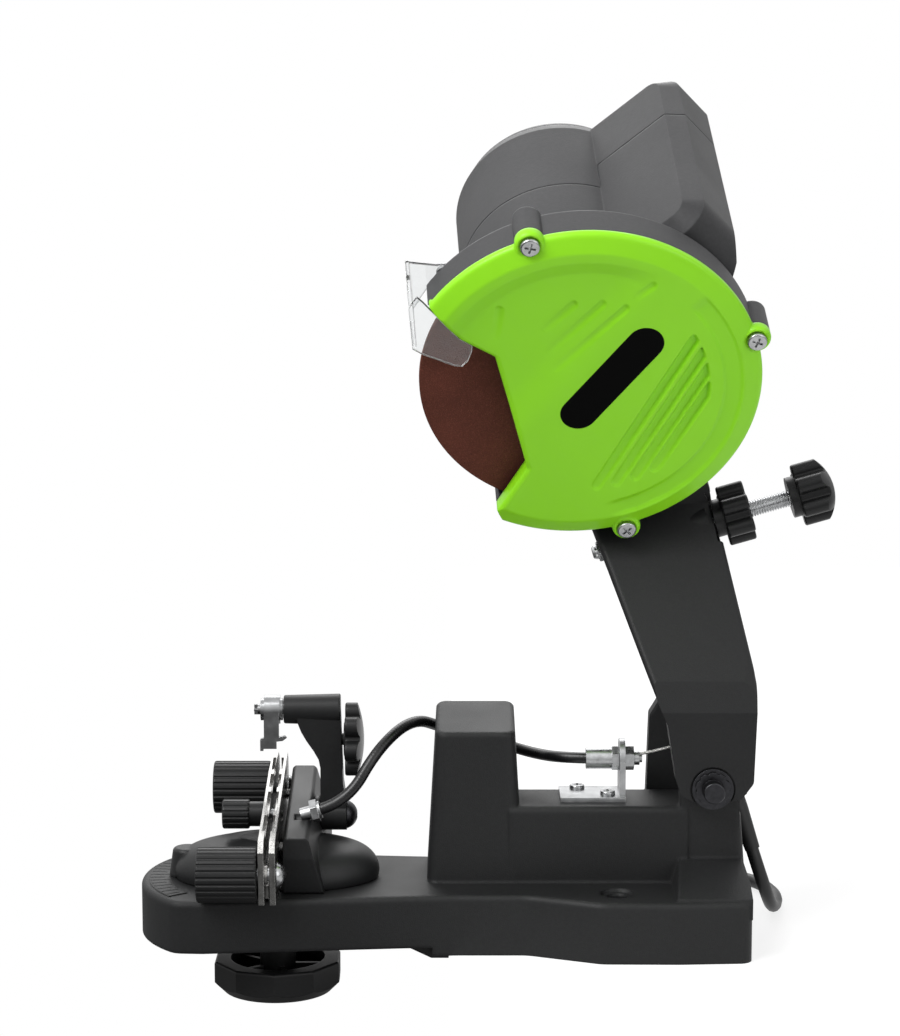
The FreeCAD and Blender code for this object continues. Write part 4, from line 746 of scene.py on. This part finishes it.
# ---- vise
class SHARPENER_OT_vise(bpy.types.Operator):
    """Finish the turntable, the chain rails with their knobs, and the clamp below the deck"""
    bl_idname = "sharpener.vise"
    bl_label = "Vise"

    def execute(self, context):
        colours = context.scene.sharpener_colours
        turntable = moulded("turntable_black", colours.casting, 0.42, grain=0.0005, depth=0.00003,
                            edge=0.0012)
        finish_nodes(turntable, "turntable")
        rails = ground_steel("rail_steel", colours.rail, 0.26)
        finish_nodes(rails, "fixed_rail", "movable_rail", "rail_spacers")
        screws = plated("rail_screws", colours.zinc, 0.24)
        finish_nodes(screws, "rail_bolts", "jaw_pins", "adjuster_screw")
        finish_nodes(ground_steel("jaw_spring_steel", colours.rail, 0.3), "jaw_springs")
        finish_nodes(plated("zinc_stud", colours.zinc, 0.32), "turntable_stud", "clamp_washer")
        knobs = moulded("vise_knob_black", colours.knob, 0.36, depth=0.000015, edge=0.0004)
        finish_nodes(knobs, "knob_near", "knob_far", "small_knob")
        finish_nodes(moulded("clamp_knob_black", colours.knob, 0.40, edge=0.0006), "clamp_knob")
        return {"FINISHED"}


class SHARPENER_OT_pawl(bpy.types.Operator):
    """Finish the tooth stop and its swinging arm"""
    bl_idname = "sharpener.pawl"
    bl_label = "Tooth stop"

    def execute(self, context):
        colours = context.scene.sharpener_colours
        finish_nodes(moulded("pawl_arm_black", colours.knob, 0.40), "pawl_bracket")
        finish_nodes(moulded("star_knob_black", colours.knob, 0.36, depth=0.000015), "star_knob")
        finger = plated("zinc_pawl", shade(colours.zinc, 0.72), 0.18, patch=0.008)
        finish_nodes(finger, "pawl", "pawl_pin", "pawl_bushing")
        finish_nodes(plated("black_screw", BLACK_OXIDE, 0.34, patch=0.002), "bracket_screw")
        return {"FINISHED"}


# ---- arm and depth stop
def stop_thread(sizes):
    """Vee thread: the radius is the root plus the thread's depth times a triangle wave of
    (distance / pitch - angle / full turn), tapered to the root at both ends."""
    pitch, depth = sizes.thread_pitch, sizes.thread_depth
    along = np.linspace(0.0, STOP_LENGTH, int(STOP_LENGTH / pitch * 10))
    phase = np.mod(along[:, None] / pitch - full_turn(36) / (2 * math.pi), 1.0)
    tooth = np.clip(1.35 * (1.0 - np.abs(2.0 * phase - 1.0)), 0.0, 1.0)
    ends = np.clip(np.minimum(along, STOP_LENGTH - along) / pitch, 0.0, 1.0)[:, None]
    reach = STOP_RADIUS - depth + depth * tooth * ends - 0.0006 * (1.0 - ends)
    heights = np.concatenate([[0.0], along, [STOP_LENGTH]])
    return turned_mesh("stop_screw_thread", heights, np.pad(reach, ((1, 1), (0, 0))), True)


def stop_tip():
    """Rounded end of the screw with its hexagon behind: each ring's radius is the smaller of the
    hexagon's edge at that angle and the turned profile's radius at that height."""
    sector = np.mod(full_turn(72) + math.pi / 6, math.pi / 3) - math.pi / 6
    heights, turned = STOP_PROFILE.T
    reach = np.minimum(STOP_HEX / 2 / np.cos(sector), turned[:, None])
    return turned_mesh("stop_screw_tip", heights, reach, False)


class SHARPENER_OT_arm(bpy.types.Operator):
    """Finish the arm and cut the depth stop's real thread"""
    bl_idname = "sharpener.arm"
    bl_label = "Arm and depth stop"

    def execute(self, context):
        sizes = context.scene.sharpener_sizes
        colours = context.scene.sharpener_colours
        finish_nodes(moulded("arm_black", colours.arm, 0.46, grain=0.0005, depth=0.00003), "arm")
        bright = plated("screw_zinc", shade(colours.zinc, 1.35), 0.22, patch=0.002)
        rod = stop_thread(sizes)
        dress(rod, bright, "stop_screw")
        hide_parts("depth_screw")
        cap = stop_tip()
        dress(cap, bright, "stop_screw")
        knobs = moulded("stop_knob_black", colours.knob, 0.34, depth=0.000015)
        finish_nodes(knobs, "end_knob", "lock_knob")
        return {"FINISHED"}


# ---- head
def eased(value):
    """Smooth step: 0 below 0, 1 above 1 and 3 t^2 - 2 t^3 between."""
    t = np.clip(value, 0.0, 1.0)
    return t * t * (3.0 - 2.0 * t)


def segment_distance(points, first, last):
    """Distance of each point from the segment, and the share of it before the nearest place."""
    along = np.subtract(last, first)
    part = np.clip(((points - first) @ along) / (along @ along), 0.0, 1.0)
    return np.linalg.norm(points - first - part[..., None] * along, axis=-1), part


def mouth_distance(points):
    """Distance of each point from the mouth: the least of its distances from the segments."""
    edges = zip(MOUTH[:-1], MOUTH[1:])
    return np.min([segment_distance(points, *ends)[0] for ends in edges], axis=0)


def cover_outline():
    """Edge of the cover seen along the spindle. A ray from the centre ends at the farther of the
    disc's and the lobes' far sides, or at the mouth's edge if that comes first; the edge is then
    smoothed a little and its points are spaced evenly."""
    angle = full_turn(4 * RAW_EDGE_POINTS)
    ray = np.stack([np.cos(angle), np.sin(angle)], axis=1)
    reach = np.zeros(len(angle))
    for place, radius in [((0.0, 0.0), GUARD_R)] + [(screw, BOSS_R) for screw in COVER_SCREWS]:
        away = place - COVER_CENTRE
        middle = ray @ away
        inside = radius ** 2 - away @ away + middle ** 2
        far = middle + np.sqrt(np.maximum(inside, 0.0))
        reach = np.maximum(reach, np.where(inside > 0.0, far, 0.0))
    for first, last in zip(MOUTH[:-1], MOUTH[1:]):
        first = first - COVER_CENTRE
        along = last - COVER_CENTRE - first
        cross = ray[:, 0] * along[1] - ray[:, 1] * along[0]
        cross = np.where(np.abs(cross) < 1e-12, 1e-12, cross)
        distance = (first[0] * along[1] - first[1] * along[0]) / cross
        part = (first[0] * ray[:, 1] - first[1] * ray[:, 0]) / cross
        hit = (distance > 0.0) & (part >= 0.0) & (part <= 1.0)
        reach = np.where(hit, np.minimum(reach, distance), reach)
    edge = even_line(COVER_CENTRE + reach[:, None] * ray, RAW_EDGE_POINTS, closed=True)[0]
    width = 13
    kernel = np.hanning(width + 2)[1:-1]
    kernel /= kernel.sum()
    padded = np.concatenate([edge[-width:], edge, edge[:width]])
    smooth = np.stack([np.convolve(values, kernel, "same") for values in padded.T], axis=1)
    return even_line(smooth[width:-width], COVER_POINTS, closed=True)[0]


def quarter_round(inside, width, drop):
    """Drop of a rounded edge: a quarter ellipse over the width next to the edge."""
    part = np.clip(1.0 - inside / width, 0.0, 1.0)
    return drop * (1.0 - np.sqrt(1.0 - part ** 2))


def cover_depth(at, bevel):
    """How far the cover's face lies behind its foremost plane: a rounded rim, eased edges along the
    mouth, a panel that slopes down inside the upper left rim, a band that stays high round the
    slots at the right, the slots and fading grooves, and screw bosses with sunk seats."""
    radius = np.linalg.norm(at, axis=-1)
    turn = np.degrees(np.arctan2(at[..., 1], at[..., 0]))
    slope = RIM_DROP * np.clip((radius - GUARD_R + bevel) / bevel, 0.0, 1.0)
    rim = slope + quarter_round(GUARD_R - radius, *RIM_ROUND)
    edge = np.maximum(rim, quarter_round(mouth_distance(at), *MOUTH_ROUND))
    label = unit(LABEL_ENDS[1] - LABEL_ENDS[0])
    off_label = (at - LABEL_ENDS.mean(axis=0)) @ np.array((-label[1], label[0]))
    panel = PANEL_DROP * np.clip((PANEL_R - radius) / PANEL_FLANK, 0.0, 1.0)
    panel = panel * eased((off_label - 0.012) / 0.020)
    beside = eased((turn + 84.0) / 10.0) * eased((40.0 - turn) / 5.0)
    shelf = SHELF_DROP * eased((radius - SHELF_R) / SHELF_FLANK)
    shelf = shelf * eased((SHELF_END_R - radius) / 0.002) * beside
    lines = np.zeros(at.shape[:-1])
    for first, last in COVER_SLOTS:
        away, part = segment_distance(at, first, last)
        sunk = SLOT_DROP * (1.0 - 0.7 * part ** 2) * eased((SLOT_HALF - away) / SLOT_FLANK)
        lines = np.maximum(lines, sunk * eased((SLOT_END_R - radius) / 0.0008))
    for first, last in COVER_GROOVES:
        away, part = segment_distance(at, first, last)
        sunk = GROOVE_DROP * (1.0 - 0.8 * part) * eased((GROOVE_HALF - away) / GROOVE_FLANK)
        lines = np.maximum(lines, sunk)
    depth = edge + panel + shelf + lines
    for screw in COVER_SCREWS:
        away = np.linalg.norm(at - screw, axis=-1)
        boss = BOSS_DROP + quarter_round(BOSS_R - away, *BOSS_ROUND)
        boss = boss + 0.004 * eased((away - BOSS_R) / BOSS_FLANK)
        depth = np.where(away < BOSS_R + BOSS_FLANK, np.minimum(depth, boss), depth)
        depth = np.maximum(depth, SEAT_DROP * eased((SEAT_R - away) / SEAT_FLANK))
    return depth


def wheel_guard_cover(bevel):
    """The cover as rings of the outline shrunk towards a centre: its face at the depth above, then
    its wall, and the underside back to the centre."""
    outline = cover_outline()
    shrink = np.concatenate([np.linspace(0.0, 0.985, 100, endpoint=False),
                             np.linspace(0.985, 1.0, 7)])
    face = COVER_CENTRE + shrink[:, None, None] * (outline - COVER_CENTRE)
    depth = cover_depth(face, bevel)
    foot = COVER_BACK + 0.0022 * eased((0.0030 - mouth_distance(outline)) / 0.0015)
    level = np.ones(len(outline))
    # rings of the wall and the underside: the share of the outline, and the depth
    rest = ((1.0, depth[-1] + 0.6 * (foot - depth[-1])), (1.0, foot), (0.962, foot),
            (0.962, COVER_LEDGE * level), (0.6, COVER_INSIDE * level), (0.0, COVER_INSIDE * level))
    shares = np.array([share for share, _ in rest])[:, None, None]
    at = np.concatenate([face, COVER_CENTRE + shares * (outline - COVER_CENTRE)])
    depth = np.concatenate([depth, [below for _, below in rest]])
    return ring_mesh("guard_cover", HEAD_AT + at[..., :1] * HEAD_X + at[..., 1:] * HEAD_W
                     + (GUARD_FRONT + depth)[..., None] * HEAD_N)


class SHARPENER_OT_head(bpy.types.Operator):
    """Finish the guard, its cover and label, the wheel with its flanges, and the clear shield"""
    bl_idname = "sharpener.head"
    bl_label = "Guard and wheel"

    def execute(self, context):
        colours = context.scene.sharpener_colours
        housing = moulded("housing_graphite", colours.motor, 0.48, depth=0.00003, edge=0.001,
                          wear_and_highlight=2.4)
        finish_nodes(housing, "disc_housing")
        cover = wheel_guard_cover(context.scene.sharpener_sizes.cover_bevel)
        dress(cover, glossy_moulding("cover_green", colours.cover, 0.38), "arm_head")
        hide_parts("wheel_cover")
        label = moulded("label_black", colours.label, 0.45, grain=0.0012, depth=0.000004,
                        edge=0.0003, wear_and_highlight=1.6, patch=0.08, shine=0.03)
        finish_nodes(label, "label_plate")
        screws = plated("cover_screw_zinc", colours.zinc, 0.26)
        finish_nodes(screws, "cover_screws", "shield_screws", "shell_screws")
        finish_nodes(abrasive("abrasive_red", colours.abrasive), "grinding_wheel")
        finish_nodes(ground_steel("flange_steel", colours.rail, 0.3), "wheel_flanges", "arbor_nut")
        finish_nodes(clear_plate("clear_plastic"), "clear_shield")
        return {"FINISHED"}


class SHARPENER_OT_motor(bpy.types.Operator):
    """Finish the motor shells, the switch and everything inside"""
    bl_idname = "sharpener.motor"
    bl_label = "Motor"

    def execute(self, context):
        colours = context.scene.sharpener_colours
        # painted highlight: the wide, strongly paled edges light up the shells' chamfers
        shells = moulded("motor_graphite", colours.motor, 0.50, depth=0.00004, edge=0.0012,
                         wear_and_highlight=2.8, patch=0.14)
        finish_nodes(shells, "motor_shell_front", "motor_shell_rear")
        finish_nodes(moulded("switch_black", colours.knob, 0.4), "switch_frame")
        finish_nodes(glossy_moulding("rocker_red", colours.rocker, 0.3), "switch_rocker")
        finish_nodes(laminated("laminations", SHEET_STEEL), "stator", "rotor")
        finish_nodes(ground_steel("shaft_steel", colours.rail, 0.28), "motor_shaft", "bearings")
        finish_nodes(moulded("fan_plastic", FAN_BLACK, 0.5, grain=0.0008), "fan")
        return {"FINISHED"}


# ---- stage
# the bench's grey to other surfaces; where it is seen, the grey that takes the shadow and the glow
FLOOR_PAINT, FLOOR_SHADOW, FLOOR_GLOW = 0.72, 0.30, 0.78


def any_ray(tree, *kinds):
    """1 for a ray of one of those kinds and 0 for any other: the kinds added up and held at 1."""
    rays = add_node(tree, "ShaderNodeLightPath").outputs
    total = rays[f"Is {kinds[0]} Ray"]
    for kind in kinds[1:]:
        total = add_node(tree, "ShaderNodeMath", {"operation": "ADD", "use_clamp": True}, {
            0: total, 1: rays[f"Is {kind} Ray"]}).outputs[0]
    return total


def mixed_shader(tree, factor, first, second):
    """Shader from first to second as the factor goes from 0 to 1."""
    return add_node(tree, "ShaderNodeMixShader", None, {0: factor, 1: first, 2: second}).outputs[0]


def white_floor(name):
    """Matt white: seen directly, or through glass or in metal, it is mostly its own even white
    plus a share of the light that falls on it, so that it keeps the shadow."""
    made = bpy.data.materials.new(name)
    tree = emptied_tree(made)
    paint, shadow = (add_node(tree, "ShaderNodeBsdfDiffuse", None, {
        "Color": (grey, grey, grey, 1.0)}).outputs[0] for grey in (FLOOR_PAINT, FLOOR_SHADOW))
    glow = add_node(tree, "ShaderNodeEmission", None, {"Strength": FLOOR_GLOW}).outputs[0]
    seen = add_node(tree, "ShaderNodeAddShader", None, {0: shadow, 1: glow}).outputs[0]
    surface = mixed_shader(tree, any_ray(tree, "Camera", "Glossy", "Transmission"), paint, seen)
    add_node(tree, "ShaderNodeOutputMaterial", None, {"Surface": surface})
    return made


def white_world(ambient):
    """Even surroundings of that strength, white where they are seen directly or through glass. In a
    mirroring surface they are dim low down and bright high up, as in a soft tent."""
    world = bpy.data.worlds.new("surroundings")
    tree = emptied_tree(world)

    def background(strength):
        return add_node(tree, "ShaderNodeBackground", None, {
            "Color": (1.0, 1.0, 1.0, 1.0), "Strength": strength}).outputs[0]

    direction = add_node(tree, "ShaderNodeTexCoord").outputs["Generated"]
    height = add_node(tree, "ShaderNodeSeparateXYZ", None, {0: direction}).outputs["Z"]
    tent = add_node(tree, "ShaderNodeMapRange", {"interpolation_type": "SMOOTHSTEP"}, {
        "Value": height, "From Min": -0.35, "From Max": 0.60,
        "To Min": 0.20, "To Max": 1.35}).outputs["Result"]
    lit = mixed_shader(tree, any_ray(tree, "Glossy"), background(ambient), background(tent))
    surface = mixed_shader(tree, any_ray(tree, "Camera", "Transmission"), lit, background(1.0))
    add_node(tree, "ShaderNodeOutputWorld", None, {"Surface": surface})
    return world


def slab(name, low, high, material):
    """A rectangular bench board from its lowest to its highest corner."""
    corners = np.array([[x, y, z] for x in (low[0], high[0]) for y in (low[1], high[1])
                        for z in (low[2], high[2])])
    faces = np.array([[0, 1, 3, 2], [4, 6, 7, 5], [0, 4, 5, 1],
                      [2, 3, 7, 6], [0, 2, 6, 4], [1, 5, 7, 3]])
    made = mesh_object(name, corners, faces, False)
    made.data.materials.append(material)


def area_lamp(name, place, target, size, power):
    """A soft square lamp that faces a point."""
    data = bpy.data.lights.new(name, "AREA")
    data.shape = "SQUARE"
    data.size = size
    data.energy = power
    made = bpy.data.objects.new(name, data)
    made.location = place
    made.rotation_euler = (Vector(target) - Vector(place)).to_track_quat("-Z", "Y").to_euler()
    bpy.context.scene.collection.objects.link(made)


class SHARPENER_OT_stage(bpy.types.Operator):
    """Lay the pale bench and hang the soft lamps"""
    bl_idname = "sharpener.stage"
    bl_label = "Bench and lamps"

    def execute(self, context):
        settings = context.scene.sharpener_stage
        slab("bench_board", low=(-0.077, -0.50, -0.030), high=(0.90, 1.10, 0.0),
             material=white_floor("bench_white"))
        area_lamp("key_lamp", place=(-0.85, -0.75, 1.25), target=(-0.05, 0.0, 0.12), size=0.9,
                  power=settings.key_power)
        area_lamp("fill_lamp", place=(0.95, -1.05, 0.55), target=(-0.05, 0.0, 0.15), size=0.8,
                  power=settings.fill_power)
        area_lamp("rim_lamp", place=(-0.10, 1.10, 1.05), target=(-0.05, 0.0, 0.15), size=0.9,
                  power=settings.rim_power)
        context.scene.world = white_world(settings.ambient)
        context.scene.view_settings.view_transform = "Standard"
        return {"FINISHED"}


# ---- panel and registration
MAKERS = (
    SHARPENER_OT_camera, SHARPENER_OT_mains_lead, SHARPENER_OT_control_cable, SHARPENER_OT_base,
    SHARPENER_OT_vise, SHARPENER_OT_pawl, SHARPENER_OT_arm, SHARPENER_OT_head, SHARPENER_OT_motor,
    SHARPENER_OT_stage,
)
SETTINGS = (
    ("sharpener_colours", SharpenerColours), ("sharpener_sizes", SharpenerSizes),
    ("sharpener_stage", SharpenerStage),
)


class SHARPENER_PT_panel(bpy.types.Panel):
    """Lists the makers and their settings"""
    bl_idname = "SHARPENER_PT_panel"
    bl_label = "Chain sharpener"
    bl_space_type = "VIEW_3D"
    bl_region_type = "UI"
    bl_category = "Sharpener"

    def draw(self, context):
        for maker in MAKERS:
            self.layout.operator(maker.bl_idname)
        for name, group in SETTINGS:
            box = self.layout.box()
            for key in group.__annotations__:
                box.prop(getattr(context.scene, name), key)


CLASSES = (*(group for _, group in SETTINGS), *MAKERS, SHARPENER_PT_panel)


def register():
    """Registers the classes and hangs the settings on the scene."""
    for cls in CLASSES:
        bpy.utils.register_class(cls)
    for name, group in SETTINGS:
        setattr(bpy.types.Scene, name, bpy.props.PointerProperty(type=group))


def unregister():
    """Takes the settings off the scene and the classes out."""
    for name, _ in SETTINGS:
        delattr(bpy.types.Scene, name)
    for cls in reversed(CLASSES):
        bpy.utils.unregister_class(cls)


def main():
    register()
    bpy.ops.sharpener.camera()
    bpy.ops.sharpener.mains_lead()
    bpy.ops.sharpener.control_cable()
    bpy.ops.sharpener.base()
    bpy.ops.sharpener.vise()
    bpy.ops.sharpener.pawl()
    bpy.ops.sharpener.arm()
    bpy.ops.sharpener.head()
    bpy.ops.sharpener.motor()
    bpy.ops.sharpener.stage()


if __name__ == "__main__":
    main()
